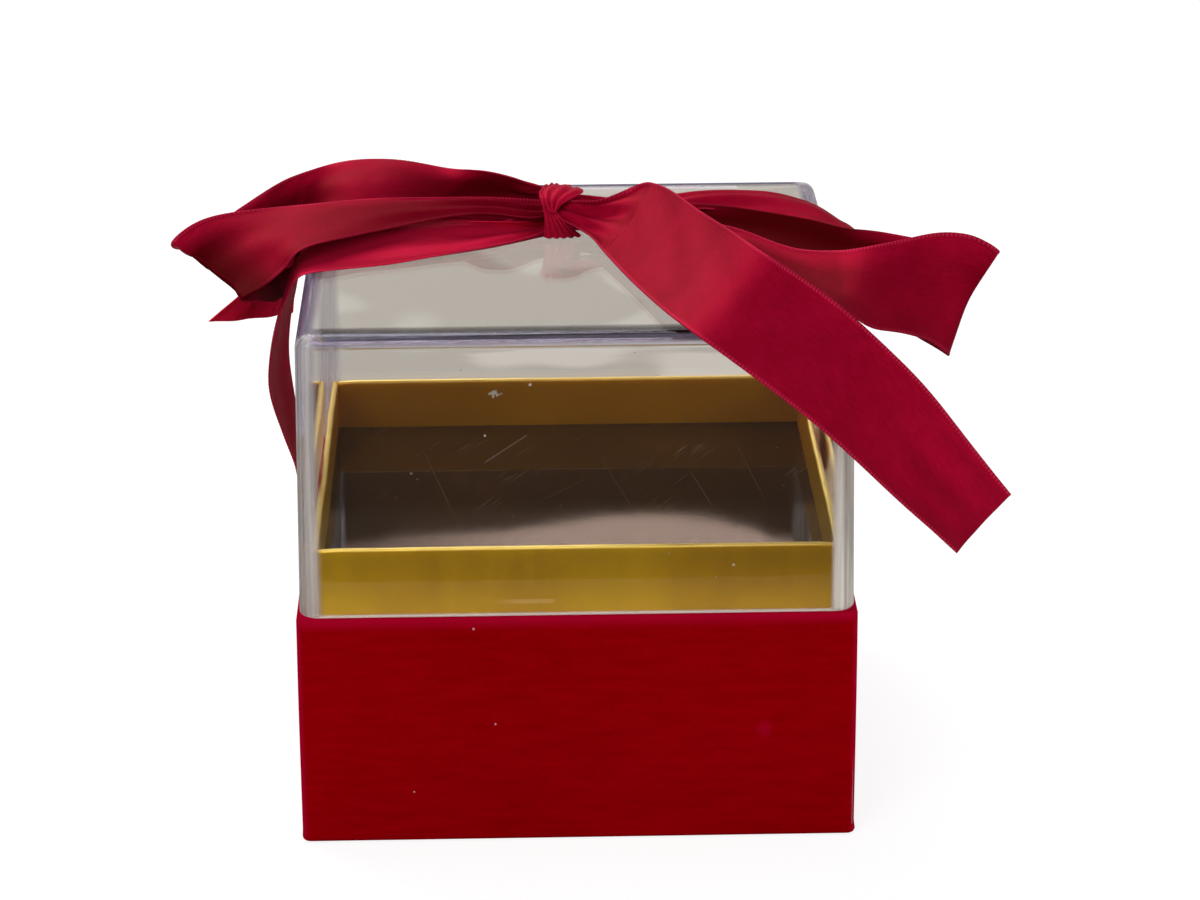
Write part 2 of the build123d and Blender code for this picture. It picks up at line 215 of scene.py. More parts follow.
half = TABLE_SIZE / 2
corners = np.array([(-half, -half, 0), (half, -half, 0), (half, half, 0), (-half, half, 0)])
table = mesh_piece("tabletop", corners, [[0, 1, 2, 3]], smooth=False)
table_paint = bpy.data.materials.new("tabletop_paint")
table_paint.use_nodes = True
start = Wire(table_paint.node_tree)
spot = places(start)
x_spot, y_spot, _ = spot.parts()
uneven = (spot.noise(PATCHES, 1.0) + x_spot * PATCH_LEAN).rise(*PATCH_FADE)
mirrored = y_spot.rise(*FRONT_FADE).blend(TABLE_IN_FRONT, uneven.blend(TABLE_BEHIND, TABLE_BRIGHTER))
mirrored = abs(x_spot).rise(*ASIDE_FADE).blend(mirrored, TABLE_ASIDE)
shade, seen = by_ray(start, TABLE_SEEN, TABLE_LIT, mirrored)
paint = start.node("ShaderNodeBsdfDiffuse", {}, {"Color": shade})
glow = start.node("ShaderNodeEmission", {}, {"Strength": seen * TABLE_GLOW})
start.node("ShaderNodeAddShader", {}, {0: paint, 1: glow}).into("Material Output", "Surface")
dress(table, table_paint)

# The room: white where the camera sees past the table. Glossy and clear things see a beige backdrop, a
# dark gap over it behind the box, a pale ceiling, and a warm reflector with a wavy lower edge, which
# is the pale arc on the tray's floor. Places here are parts of a direction, not metres.
ROOM_WHITE, ROOM_LIGHT = (1.0, 1.0, 1.0, 1.0), (0.33, 0.33, 0.33, 1.0)
ROOM_LOW, ROOM_HIGH, CEILING_FADE = (0.46, 0.43, 0.38, 1.0), (0.5, 0.5, 0.52, 1.0), (0.35, 0.8)
ROOM_GAP, GAP_BOTTOM, GAP_TOP = (0.024, 0.016, 0.009, 1.0), (0.314, 0.332), (0.66, 0.56)
GAP_AHEAD, GAP_ENDS = (0.0, 0.1), (0.34, 0.22)
REFLECTOR_WARM = (2.3, 1.68, 1.38, 1.0)
REFLECTOR_MIDDLE, REFLECTOR_ENDS, REFLECTOR_TOP = 0.02, (0.080, 0.068), (0.46, 0.42)
REFLECTOR_BOTTOM, REFLECTOR_WAVE, REFLECTOR_BLUR = 0.352, 0.008, 0.0004
REFLECTOR_DIM, REFLECTOR_DIM_END = 0.35, (-0.045, 0.01)
EDGE_START, EDGE_LENGTH = -0.05, 0.14
EDGE_WAVES = ((0.0, 1.0), (0.08, 0.85), (0.13, 0.71), (0.33, 0.62), (0.42, 0.44), (0.52, 0.21),
              (0.62, 0.14), (0.72, 0.23), (0.81, 0.54), (0.86, 0.85), (0.93, 1.0))
world = bpy.data.worlds.new("room")
world.use_nodes = True
bpy.context.scene.world = world
start = Wire(world.node_tree)
aside, back, height = start.node("ShaderNodeTexCoord", {}, {}).parts()
backdrop = height.rise(*CEILING_FADE).blend(ROOM_LOW, ROOM_HIGH)
gap = height.rise(*GAP_BOTTOM) * height.rise(*GAP_TOP) * back.rise(*GAP_AHEAD) * abs(aside).rise(*GAP_ENDS)
turn = aside / back.math("MAXIMUM", 0.1)
stops = [(place, (low, low, low)) for place, low in EDGE_WAVES]
wave = start.node("ShaderNodeValToRGB", {"stops": stops}, {"Fac": (turn - EDGE_START) / EDGE_LENGTH})
above = (height - (wave * REFLECTOR_WAVE + REFLECTOR_BOTTOM)).rise(-REFLECTOR_BLUR, REFLECTOR_BLUR)
between = abs(turn - REFLECTOR_MIDDLE).rise(*REFLECTOR_ENDS)
brightness = turn.rise(*REFLECTOR_DIM_END) * (1 - REFLECTOR_DIM) + REFLECTOR_DIM
reflector = above * height.rise(*REFLECTOR_TOP) * between * brightness
mirrored = reflector.blend(gap.blend(backdrop, ROOM_GAP), REFLECTOR_WARM)
shade, _ = by_ray(start, ROOM_WHITE, ROOM_LIGHT, mirrored)
shade.into("Background", "Color")

# Lamps: four soft panels round the box, the strongest behind it and in front to the left, and a weak
# one low on the right, which lights the lid's side.
LAMP_AIM = Vector((0, 0, 0.06))


def lamp(name, place, size, watts):
    """A soft area lamp that the camera doesn't see, at a place in metres, aimed at the box."""
    light = bpy.data.lights.new(name, "AREA")
    light.size, light.energy = size, watts
    holder = bpy.data.objects.new(name, light)
    bpy.context.scene.collection.objects.link(holder)
    holder.location = place
    holder.rotation_mode = "QUATERNION"
    holder.rotation_quaternion = (LAMP_AIM - Vector(place)).to_track_quat("-Z", "Y")
    holder.visible_camera = False


lamp("key_lamp", place=(-0.8, -1.5, 1.1), size=0.9, watts=12.5)
lamp("fill_lamp", place=(1.3, -1.5, 0.9), size=1.0, watts=8)
lamp("back_lamp", place=(-0.5, 0.95, 1.25), size=1.2, watts=17)
lamp("side_lamp", place=(1.5, -0.25, 0.45), size=0.9, watts=3.5)

# Carcass: grey board cut to four walls and a floor, butted and glued, with a paper stay in each
# inside corner. It shows only where the lifted tray uncovers it. The tray's floor is of this board too.


def rgb(red, green, blue):
    """A colour as it shows on a screen, from 0 to 255, as the linear light that a shader takes."""
    shares = np.array((red, green, blue)) / 255
    linear = np.where(shares <= 0.04045, shares / 12.92, ((shares + 0.055) / 1.055) ** 2.4)
    return (*map(float, linear), 1.0)


def finish_named(name, **constants):
    """A new material: (material, a wire to begin from, a function that feeds its Principled sockets)."""
    material = bpy.data.materials.new(name)
    material.use_nodes = True
    tree = material.node_tree
    for socket, value in constants.items():
        tree.nodes["Principled BSDF"].inputs[socket.replace("_", " ")].default_value = value

    def feed(**wires):
        for socket, wire in wires.items():
            wire.into("Principled BSDF", socket.replace("_", " "))

    return material, Wire(tree), feed


def paper_finish(name, colours, scale, detail, fade, tooth, roughness, finer_up=1.0):
    """Dull paper or board: one noise blends its two colours and raises its tooth, in metres."""
    finish, start, feed = finish_named(name, Roughness=roughness)
    grain = places(start).stretched(1.0, 1.0, finer_up).noise(scale, detail)
    feed(Base_Color=grain.rise(*fade).blend(*colours), Normal=grain.bump(tooth))
    return finish


BOARD_FLECK, BOARD_GREY = rgb(118, 114, 108), rgb(150, 146, 138)
board_finish = paper_finish("greyboard", (BOARD_FLECK, BOARD_GREY), scale=900.0, detail=4.0,
                            fade=(0.42, 0.62), tooth=0.08 * MM, roughness=0.9, finer_up=3.0)
for name in ("base_wall_front", "base_wall_back", "base_wall_left", "base_wall_right",
             "base_floor_board", "tray_floor_board"):
    dress(nodes[name], board_finish)

STAY_SHADE, STAY_PAPER = rgb(190, 180, 156), rgb(205, 196, 172)
stay_finish = paper_finish("stay_paper", (STAY_SHADE, STAY_PAPER), scale=1400.0, detail=3.0,
                           fade=(0.35, 0.65), tooth=0.03 * MM, roughness=0.8)
dress(nodes["base_corner_stays"], stay_finish)

# Lining and tray rests: a sheet of dark red paper on the floor inside the base, and on it four strips
# of board laminated in the same paper, which carry the tray.
REST_SHADE, REST_RED = rgb(88, 2, 12), rgb(108, 6, 18)
rest_finish = paper_finish("lining_paper", (REST_SHADE, REST_RED), scale=700.0, detail=3.0,
                           fade=(0.35, 0.65), tooth=0.04 * MM, roughness=0.75, finer_up=12.0)
for name in ("base_floor_lining", "tray_rest_front", "tray_rest_back", "tray_rest_left",
             "tray_rest_right"):
    dress(nodes[name], rest_finish)

# Bottom paper: black textured paper, cut 4 mm in from the box's sides and glued under the floor over
# the velvet's hem. The box stands on it.
BOTTOM_BLACK, BOTTOM_GREY = rgb(26, 24, 25), rgb(44, 42, 43)
bottom_finish = paper_finish("bottom_paper", (BOTTOM_BLACK, BOTTOM_GREY), scale=1800.0, detail=2.0,
                             fade=(0.5, 0.75), tooth=0.06 * MM, roughness=0.7)
dress(nodes["base_bottom_paper"], bottom_finish)

# Velvet cover: one skin of short-pile velvet glued round the carcass, rolled over the rim, turned in,
# and hemmed under the floor. Its corners are soft. Along the rim and down the upright corners a lighter
# crimson is painted on as a painted sheen, where the pile is seen edge on.
BOARD, VELVET = 2.0 * MM, 0.7 * MM
VELVET_CORNER, VELVET_ROLL, VELVET_FOOT, VELVET_SHARPEST = 1.9 * MM, 0.75 * MM, 0.9 * MM, 0.25 * MM
VELVET_HEM, VELVET_TURN_IN, VELVET_UNDER = 12.0 * MM, 15.0 * MM, 2.0 * MM
VELVET_SINK, VELVET_WAVE = 0.12 * MM, 0.05 * MM
VELVET_LEVELS, VELVET_SIDE_STEPS, VELVET_CORNER_STEPS = (0.05, 0.2, 0.4, 0.6, 0.8, 0.94), 40, 8
velvet_low, velvet_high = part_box("velvet_wrap")
box_half, rim_height, hem_height = velvet_high.x, velvet_high.z, velvet_low.z
board_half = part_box("base_wall_front")[1].x
cavity_half = board_half - BOARD
mouth_half = cavity_half - VELVET


def rounded_square(halves, radii, side_steps, corner_steps):
    """Points of rounded squares, one row for each half side and corner radius.

    Each side is even steps between its corners, and each corner is a quarter circle of its radius about
    a centre that is one radius in from both sides.
    """
    along = np.linspace(-1, 1, side_steps, endpoint=False)
    turn = np.linspace(0, math.pi / 2, corner_steps, endpoint=False)
    halves, radii = np.asarray(halves)[:, None], np.asarray(radii)[:, None]
    straight = halves - radii
    side_x, side_y = halves + 0 * along, straight * along
    corner_x, corner_y = straight + radii * np.cos(turn), straight + radii * np.sin(turn)
    x, y = np.hstack((side_x, corner_x)), np.hstack((side_y, corner_y))
    quarters = [(x, y), (-y, x), (-x, -y), (y, -x)]
    return np.hstack([q[0] for q in quarters]), np.hstack([q[1] for q in quarters])


def ring_quads(rows, columns, close_rows=False):
    """Quads of a grid that closes on itself along its columns, and along its rows if asked."""
    row, column = np.meshgrid(np.arange(rows if close_rows else rows - 1), np.arange(columns), indexing="ij")
    next_row, next_column = (row + 1) % rows, (column + 1) % columns
    return np.stack((row * columns + column, row * columns + next_column,
                     next_row * columns + next_column, next_row * columns + column), -1).reshape(-1, 4)


def arc(centre, radius, start_angle, end_angle, steps=6):
    """Points (out, up) on a circle's arc, angles in degrees from straight out, up being 90."""
    angles = np.radians(np.linspace(start_angle, end_angle, steps))
    return np.stack((centre[0] + radius * np.cos(angles), centre[1] + radius * np.sin(angles)), -1)


def velvet_ripple(x, y, z):
    """Waves a hand long that stop the glued skin from lying dead flat: three sines of sums of x, y, z."""
    return VELVET_WAVE * (np.sin(x * 70 + z * 40) + np.sin(y * 55 - z * 90 + 1.3) + np.sin((x + y) * 33))


outline = np.vstack((
    [(board_half - VELVET_HEM, hem_height)],
    [(box_half - VELVET_FOOT - VELVET_UNDER, hem_height)],
    arc((box_half - VELVET_FOOT, hem_height + VELVET_FOOT), VELVET_FOOT, -90, 0),
    [(box_half, hem_height + share * (rim_height - hem_height)) for share in VELVET_LEVELS],
    arc((box_half - VELVET_ROLL, rim_height - VELVET_ROLL), VELVET_ROLL, 0, 90),
    [(board_half - BOARD / 2, rim_height)],
    arc((mouth_half + VELVET_ROLL, rim_height - VELVET_ROLL), VELVET_ROLL, 90, 180),
    [(mouth_half, rim_height - VELVET_TURN_IN)],
    [(cavity_half, rim_height - VELVET_TURN_IN)],
    [(cavity_half, rim_height - VELVET)],
    [(board_half, rim_height - VELVET)],
    [(board_half, hem_height + VELVET)],
    [(board_half - VELVET_HEM, hem_height + VELVET)]))
radii = np.maximum(VELVET_CORNER - (box_half - outline[:, 0]), VELVET_SHARPEST)
ring_x, ring_y = rounded_square(outline[:, 0], radii, VELVET_SIDE_STEPS, VELVET_CORNER_STEPS)
ring_z = np.repeat(outline[:, 1:], ring_x.shape[1], axis=1)
outer = (outline[:, :1] > box_half - VELVET_FOOT) & (outline[:, 1:] > hem_height + VELVET_FOOT)
swell = np.where(outer, velvet_ripple(ring_x, ring_y, ring_z) - VELVET_SINK, 0.0)
spread = 1 + swell / np.maximum(abs(ring_x), abs(ring_y))
points = np.stack((ring_x * spread, ring_y * spread, ring_z), -1)
velvet_cover = mesh_piece("velvet_cover", points, ring_quads(*ring_x.shape, close_rows=True).tolist())

VELVET_DEEP, VELVET_RED, VELVET_BRUSH_MARK_AND_SHEEN = rgb(128, 0, 3), rgb(150, 0, 10), rgb(176, 6, 48)
LINT_WHITE = rgb(205, 150, 165)
BRUSH_MARK, BRUSH_MARK_FADE = (40.0 * MM, -60.0 * MM, 25.5 * MM), (2.6 * MM, 0.4 * MM)
velvet_finish, start, feed = finish_named(
    "velvet", Roughness=1.0, Sheen_Weight=0.5, Sheen_Roughness=0.3, Sheen_Tint=(0.8, 0.01, 0.12, 1.0),
    Specular_IOR_Level=0.0)
place = places(start)
x_place, y_place, z_place = place.parts()
nap = place.stretched(1.0, 1.0, 5.5).noise(95.0, 5.0, 0.62)
weave = place.stretched(0.35, 0.35, 2.2).noise(900.0, 2.0)
pile = place.noise(3600.0, 2.0, 0.7)
shading = place.noise(14.0, 1.0)
tone = nap * 0.40 + weave * 0.20 + pile * 0.22 + shading * 0.25
colour = tone.rise(0.34, 0.76).blend(VELVET_DEEP, VELVET_RED)
colour = (place.distance(BRUSH_MARK).rise(*BRUSH_MARK_FADE) * 0.35).blend(colour, VELVET_BRUSH_MARK_AND_SHEEN)
# Painted sheen: the rim and the upright corners are painted a lighter crimson, as the pile seen edge on.
rim = z_place.near(rim_height, far=3.2 * MM, close=0.2 * MM)
upright = (abs(x_place).near(box_half, far=1.6 * MM, close=0.3 * MM)
           * abs(y_place).near(box_half, far=3.0 * MM, close=1.2 * MM))
colour = (rim.math("MAXIMUM", upright) * 0.6).blend(colour, VELVET_BRUSH_MARK_AND_SHEEN)
colour = (place.specks(95.0, edge=0.032, core=0.018) * 0.8).blend(colour, LINT_WHITE)
feed(Base_Color=colour, Normal=(pile * 0.6 + weave * 0.4).bump(0.10 * MM, 0.6))
dress(velvet_cover, velvet_finish)
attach(velvet_cover, "base")
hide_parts("velvet_wrap")

# Tray walls: gold foil card folded double, the fold upwards, glued to the tray's floor. The folds are
# never quite straight, and a paler gold is painted along them as a painted highlight. The side walls'
# ends are rounded, to clear the lid's inside corners.
CARD_FOLD, CARD_TOP_LEAN, CARD_CORNER, CARD_END = 0.62 * MM, 0.12 * MM, 1.2 * MM, 4.0 * MM
CARD_WANDER, CARD_DIP, CARD_END_DIP = 0.10 * MM, 0.16 * MM, 0.25 * MM
CARD_LEVELS, CARD_STEPS, CARD_CORNER_STEPS = (0.0, 0.25, 0.5, 0.75, 0.9), 90, 7
CARD_CRISP_DEGREES = 40


def crisp(piece, degrees):
    """Shades the piece smooth, but for edges that turn by more than this."""
    piece.data.shade_smooth()
    piece.data.set_sharp_from_angle(angle=math.radians(degrees))
    return piece


def folded_wall(name, along_axis, side):
    """A double card wall: a slot shape with a round top, carried along the wall.

    Its top and both faces wander by the sum of three sines of the way along, most at the fold, and
    its ends are flat. A side wall's outer face comes in at each end by a quarter circle: the radius
    less the root of its square less the square of what is left of it.
    """
    low, high = (np.array(corner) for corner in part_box(name))
    other = 1 - along_axis
    thick, middle = high[other] - low[other], (high[other] + low[other]) / 2
    bottom, tall = low[2], high[2] - low[2]
    section = np.vstack((
        [(thick / 2, bottom + share * tall) for share in CARD_LEVELS],
        arc((thick / 2 - CARD_FOLD, high[2] - CARD_FOLD), CARD_FOLD, 0, 90),
        arc((-thick / 2 + CARD_FOLD, high[2] - CARD_FOLD), CARD_FOLD, 90, 180),
        [(-thick / 2, bottom + share * tall) for share in CARD_LEVELS[::-1]]))
    begin, end = low[along_axis], high[along_axis]
    rounding = CARD_CORNER * (1 - np.cos(np.linspace(0, math.pi / 2, CARD_CORNER_STEPS)))
    straight = np.linspace(begin + CARD_CORNER, end - CARD_CORNER, CARD_STEPS)[1:-1]
    along = np.concatenate((begin + rounding, straight, end - rounding[::-1]))[:, None]
    from_end = np.minimum(along - begin, end - along)
    end_ease = np.minimum(1, from_end / CARD_END)
    seed = 3 * along_axis + side
    wander = (np.sin(along * 95 + seed) + 0.6 * np.sin(along * 210 + 2.1 * seed)
              + 0.4 * np.sin(along * 480 + 4 * seed)) / 2
    lift = np.clip((section[:, 1] - bottom) / tall, 0, 1) ** 2
    left_over = CARD_CORNER - np.minimum(from_end, CARD_CORNER)
    turned_in = (CARD_CORNER - np.sqrt(CARD_CORNER ** 2 - left_over ** 2)) * along_axis
    inner = -side * thick / 2
    out = inner + (section[:, 0] - inner) * (1 - turned_in / thick)
    out = out + middle - CARD_TOP_LEAN * side * lift + CARD_WANDER * wander * lift * end_ease
    rise = section[:, 1] - CARD_DIP * (0.5 + 0.5 * wander) * lift - CARD_END_DIP * lift * (1 - end_ease)
    grid = np.empty((len(along), len(section), 3))
    grid[..., along_axis], grid[..., other], grid[..., 2] = along, out, rise
    first_end = np.arange(len(section))
    last_end = first_end + (len(along) - 1) * len(section)
    faces = ring_quads(*grid.shape[:2]).tolist() + [first_end[::-1].tolist(), last_end.tolist()]
    if along_axis == 0:
        faces = [face[::-1] for face in faces]
    return crisp(mesh_piece(name + "_foil", grid, faces), CARD_CRISP_DEGREES)


FOIL_BRONZE, FOIL_GOLD, FOIL_FOLD_HIGHLIGHT = rgb(206, 156, 12), rgb(220, 174, 16), rgb(248, 222, 130)
FOIL_REFLECTED_BROWN, FOIL_REFLECTED_BROWN_FADE = rgb(206, 128, 6), (-0.02, 0.05)
CHIP_WHITE, CHIP, CHIP_SQUEEZE = rgb(214, 206, 190), (-12.2 * MM, 54.9 * MM, 63.3 * MM), 0.7
CHIP_RAGGED, CHIP_FADE = 2.6 * MM, (2.15 * MM, 2.0 * MM)
foil_finish, start, feed = finish_named("gold_foil_card", Roughness=0.36, Specular_IOR_Level=0.2)
place = places(start)
_, back, height = place.parts()
tray_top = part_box("tray_wall_front")[1].z
drift = place.noise(26.0, 2.0)
print_grain = place.noise(1500.0, 2.0)
scuff = place.stretched(1.0, 1.0, 0.12).noise(420.0, 3.0)
colour = drift.rise(0.35, 0.68).blend(FOIL_BRONZE, FOIL_GOLD)
# Painted reflection: the gold is painted browner towards the back, for the brown floor sheet and red velvet
# it mirrors.
colour = (back.rise(*FOIL_REFLECTED_BROWN_FADE) * 0.75).blend(colour, FOIL_REFLECTED_BROWN)
# Painted highlight: a paler gold along the top of each fold.
colour = (height.near(tray_top, far=0.9 * MM, close=0.1 * MM) * 0.75).blend(colour, FOIL_FOLD_HIGHLIGHT)
colour = (place.specks(160.0, edge=0.035, core=0.02) * 0.7).blend(colour, CHIP_WHITE)

# One ragged chip in the foil, longer along the wall: CHIP is its middle once x is squeezed.
from_chip = place.stretched(CHIP_SQUEEZE, 1.0, 1.0).distance(CHIP)
chip = (from_chip + place.noise(1300.0, 1.0) * CHIP_RAGGED).rise(*CHIP_FADE)
colour = chip.blend(colour, CHIP_WHITE)
feed(Base_Color=colour, Metallic=0.9 - chip * 0.9, Roughness=scuff * 0.14 + drift * 0.10 + 0.26,
     Normal=(print_grain * 0.3 + drift * 2.0).bump(0.05 * MM, 0.5))
for name, along_axis, side in (("tray_wall_front", 0, -1), ("tray_wall_back", 0, 1),
                               ("tray_wall_left", 1, -1), ("tray_wall_right", 1, 1)):
    wall = dress(folded_wall(name, along_axis, side), foil_finish)
    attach(wall, "tray")
    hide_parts(name)
dress(nodes["tray_floor_flaps"], foil_finish)

# Tray floor: a sheet of dark brown gloss card laid on the floor board, scratched and dusty from use.
# Its gloss fades towards the back.
SHEET_BROWN, SHEET_WARM, DUST = rgb(36, 18, 5), rgb(46, 25, 7), rgb(150, 132, 118)
SCRATCHES = (
    ((-0.0098, 0.0478), (-0.0199, 0.0289), 0.16 * MM, 0.42),
    ((-0.0340, 0.0360), (-0.0234, -0.0251), 0.13 * MM, 0.11),
    ((0.0277, 0.0212), (0.0316, -0.0021), 0.10 * MM, 0.14),
    ((0.0071, 0.0322), (0.0150, -0.0111), 0.08 * MM, 0.10),
    ((-0.0073, 0.0026), (0.0032, 0.0167), 0.07 * MM, 0.12),
    ((0.0393, 0.0414), (0.0438, 0.0006), 0.07 * MM, 0.10))
SCRATCH_END, HAIRS_LEAN = 0.5 * MM, math.radians(28)
GLOSS_BACK, GLOSS_MORE, GLOSS_FADE = 0.25, 0.75, (0.004, -0.008)


def scratch(place, begin, end, width):
    """1 on the line between two points in (x, y) metres, this wide, and 0 off it.

    The way along and the way off the line are both sums of x and y, less the begin's own.
    """
    run = math.dist(begin, end)
    dx, dy = (end[0] - begin[0]) / run, (end[1] - begin[1]) / run
    x, y, _ = place.parts()
    on = x * dx + y * dy - (begin[0] * dx + begin[1] * dy)
    off = abs(x * -dy + y * dx - (begin[1] * dx - begin[0] * dy))
    return off.rise(width, width / 2) * on.rise(0.0, SCRATCH_END) * on.rise(run, run - SCRATCH_END)


sheet_finish, start, feed = finish_named(
    "brown_gloss_card", Roughness=0.5, Specular_IOR_Level=0.0, Coat_Roughness=0.025)
place = places(start)
_, back, _ = place.parts()
cloud = place.noise(30.0, 3.0).rise(0.35, 0.7)
colour = cloud.blend(SHEET_BROWN, SHEET_WARM)
dusty = place.noise(70.0, 1.0).rise(0.45, 0.62)
colour = (place.specks(210.0, edge=0.07, core=0.03) * dusty * 0.55).blend(colour, DUST)
for begin, end, width, strength in SCRATCHES:
    colour = (scratch(place, begin, end, width) * strength).blend(colour, DUST)
rubbed = start.node("ShaderNodeMapping", {}, {"Vector": place, "Rotation": (0.0, 0.0, HAIRS_LEAN)})
hairs = rubbed.stretched(1.0, 0.035, 1.0).noise(1500.0, 2.0).rise(0.60, 0.72)
hairy = place.noise(34.0, 1.0).rise(0.46, 0.66)
colour = (hairs * hairy * 0.14).blend(colour, DUST)
feed(Base_Color=colour, Coat_Weight=back.rise(*GLOSS_FADE) * GLOSS_MORE + GLOSS_BACK)
dress(nodes["tray_floor_sheet"], sheet_finish)

# Lid: one clear styrene moulding with slightly drafted walls, its edges rounded by the mould. A violet
# absorption inside the walls tints what is seen through them, and its edges are painted violet grey as
# a painted edge light, pale at the right corners. The upright corners are rubbed and dusty, and painted
# paler still on the right as painted light; a painted highlight runs round the rim.
LID_WALL, LID_CORNER, LID_EDGE, LID_INNER_EDGE = 2.0 * MM, 4.2 * MM, 3.0 * MM, 1.0 * MM
LID_LEAN, LID_RIM, LID_SHARPEST, LID_CRISP_DEGREES = 0.8 * MM, 0.25 * MM, 0.4 * MM, 50
LID_RUN_TOP, LID_RUN_BOTTOM, WELD = 2.0 * MM, 0.5 * MM, 1e-7
LID_SIDE_STEPS, LID_CORNER_STEPS, LID_WALL_STEPS, LID_TOP_STEPS = 24, 14, 6, 5
LID_EDGE_STEPS, LID_INNER_EDGE_STEPS = 14, 8
lid_low, lid_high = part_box("lid_shell")
rim_half, lid_bottom, lid_top = lid_high.x, lid_low.z, lid_high.z
ceiling = lid_top - LID_WALL
lean_angle = math.degrees(math.atan(LID_LEAN / (lid_top - lid_bottom)))


def lean_at(height):
    """How far the drafted wall leans in at a height: in step with its share of the lid's height."""
    return LID_LEAN * (height - lid_bottom) / (lid_top - lid_bottom)


def wall_at(height, inset):
    """How far out the drafted wall stands at a height, this much in from the outer face."""
    return rim_half - inset - lean_at(height)


def merge_doubles(piece):
    """Welds points that lie on each other, and points the faces outwards."""
    work = bmesh.new()
    work.from_mesh(piece.data)
    bmesh.ops.remove_doubles(work, verts=work.verts, dist=WELD)
    bmesh.ops.dissolve_degenerate(work, edges=work.edges, dist=WELD)
    bmesh.ops.recalc_face_normals(work, faces=work.faces)
    work.to_mesh(piece.data)
    work.free()
    return piece


outer_centre = (wall_at(lid_top - LID_EDGE, LID_EDGE), lid_top - LID_EDGE)
inner_centre = (wall_at(ceiling - LID_INNER_EDGE, LID_WALL + LID_INNER_EDGE), ceiling - LID_INNER_EDGE)
inner_heights = np.linspace(
    ceiling - LID_INNER_EDGE - LID_RUN_TOP, lid_bottom + LID_RUN_BOTTOM, LID_WALL_STEPS)
outer_heights = np.linspace(lid_bottom + LID_RUN_BOTTOM, lid_top - LID_EDGE - LID_RUN_TOP, LID_WALL_STEPS)
to_middle = np.linspace(0.999, 0.0, LID_TOP_STEPS)
inner_face = np.vstack((
    [(inner_centre[0] * share, ceiling) for share in to_middle[::-1]],
    arc(inner_centre, LID_INNER_EDGE, 90, lean_angle, LID_INNER_EDGE_STEPS),
    [(wall_at(height, LID_WALL), height) for height in inner_heights],
    [(wall_at(lid_bottom, LID_WALL) + LID_RIM, lid_bottom)]))
outer_face = np.vstack((
    [(wall_at(lid_bottom, 0) - LID_RIM, lid_bottom)],
    [(wall_at(height, 0), height) for height in outer_heights],
    arc(outer_centre, LID_EDGE, lean_angle, 90, LID_EDGE_STEPS),
    [(outer_centre[0] * share, lid_top) for share in to_middle]))
outline = np.vstack((inner_face, outer_face))
inside = np.arange(len(outline)) < len(inner_face)
full_half = np.where(inside, rim_half - LID_WALL, rim_half)
drawn_in = np.maximum(full_half - outline[:, 0] - LID_LEAN, 0)
radii = np.where(inside, LID_CORNER - LID_WALL, LID_CORNER) - lean_at(outline[:, 1])
radii = np.clip(radii - drawn_in, 0.0, outline[:, 0])
radii = np.maximum(radii, np.minimum(LID_SHARPEST, outline[:, 0]))
ring_x, ring_y = rounded_square(outline[:, 0], radii, LID_SIDE_STEPS, LID_CORNER_STEPS)
ring_z = np.repeat(outline[:, 1:], ring_x.shape[1], axis=1)
points = np.stack((ring_x, ring_y, ring_z), -1)
clear_lid = mesh_piece("clear_lid", points, ring_quads(*ring_x.shape)[:, ::-1].tolist())
clear_lid = crisp(merge_doubles(clear_lid), LID_CRISP_DEGREES)

PLASTIC, PLASTIC_SHADOW, DUST_AND_LIGHT_WHITE = (0.985, 0.982, 0.985, 1.0), (0.95, 0.95, 0.95, 1.0), rgb(226, 222, 214)
LID_PAINTED_EDGE_VIOLET, LID_PAINTED_EDGE_PALE = (0.60, 0.57, 0.72, 1.0), (0.92, 0.90, 0.90, 1.0)
LID_TINT, LID_TINT_DENSITY = (0.62, 0.50, 0.88, 1.0), 7.0
lid_finish, start, feed = finish_named(
    "clear_styrene", Roughness=0.0, IOR=1.52, Transmission_Weight=1.0, Base_Color=PLASTIC)
place = places(start)
x_lid, y_lid, z_lid = place.parts()
handled = place.noise(38.0, 3.0).rise(0.45, 0.75)
feed(Roughness=handled * 0.035)
glass = Wire(start.tree, start.tree.nodes["Principled BSDF"].outputs[0])
violet = start.node("ShaderNodeBsdfTransparent", {}, {"Color": LID_PAINTED_EDGE_VIOLET})
pale = start.node("ShaderNodeBsdfTransparent", {}, {"Color": LID_PAINTED_EDGE_PALE})
dust_and_light_film = start.node("ShaderNodeBsdfDiffuse", {}, {"Color": DUST_AND_LIGHT_WHITE})
clear = start.node("ShaderNodeBsdfTransparent", {}, {"Color": PLASTIC_SHADOW})

# Where the edges are, which are painted with edge light: the upright corners, the top edges all round,
# and a wider strip at the front.
x_out = abs(x_lid).near(rim_half, far=5.5 * MM, close=3.5 * MM)
y_out = abs(y_lid).near(rim_half, far=5.5 * MM, close=3.5 * MM)
upright = x_out * y_out
front_edge = y_lid.near(-rim_half, far=-8.5 * MM, close=-6.5 * MM)
top_edge = z_lid.near(lid_top, far=2.7 * MM, close=2.1 * MM) * (x_out.math("MAXIMUM", y_out) + front_edge)
# Painted light: the corners on the right, but for their top few millimetres, are made paler than the left
# ones.
rightwards = x_lid.rise(0.0, 10.0 * MM)
right_corner_light = upright * rightwards * z_lid.rise(lid_top - 4.0 * MM, lid_top - 7.0 * MM)

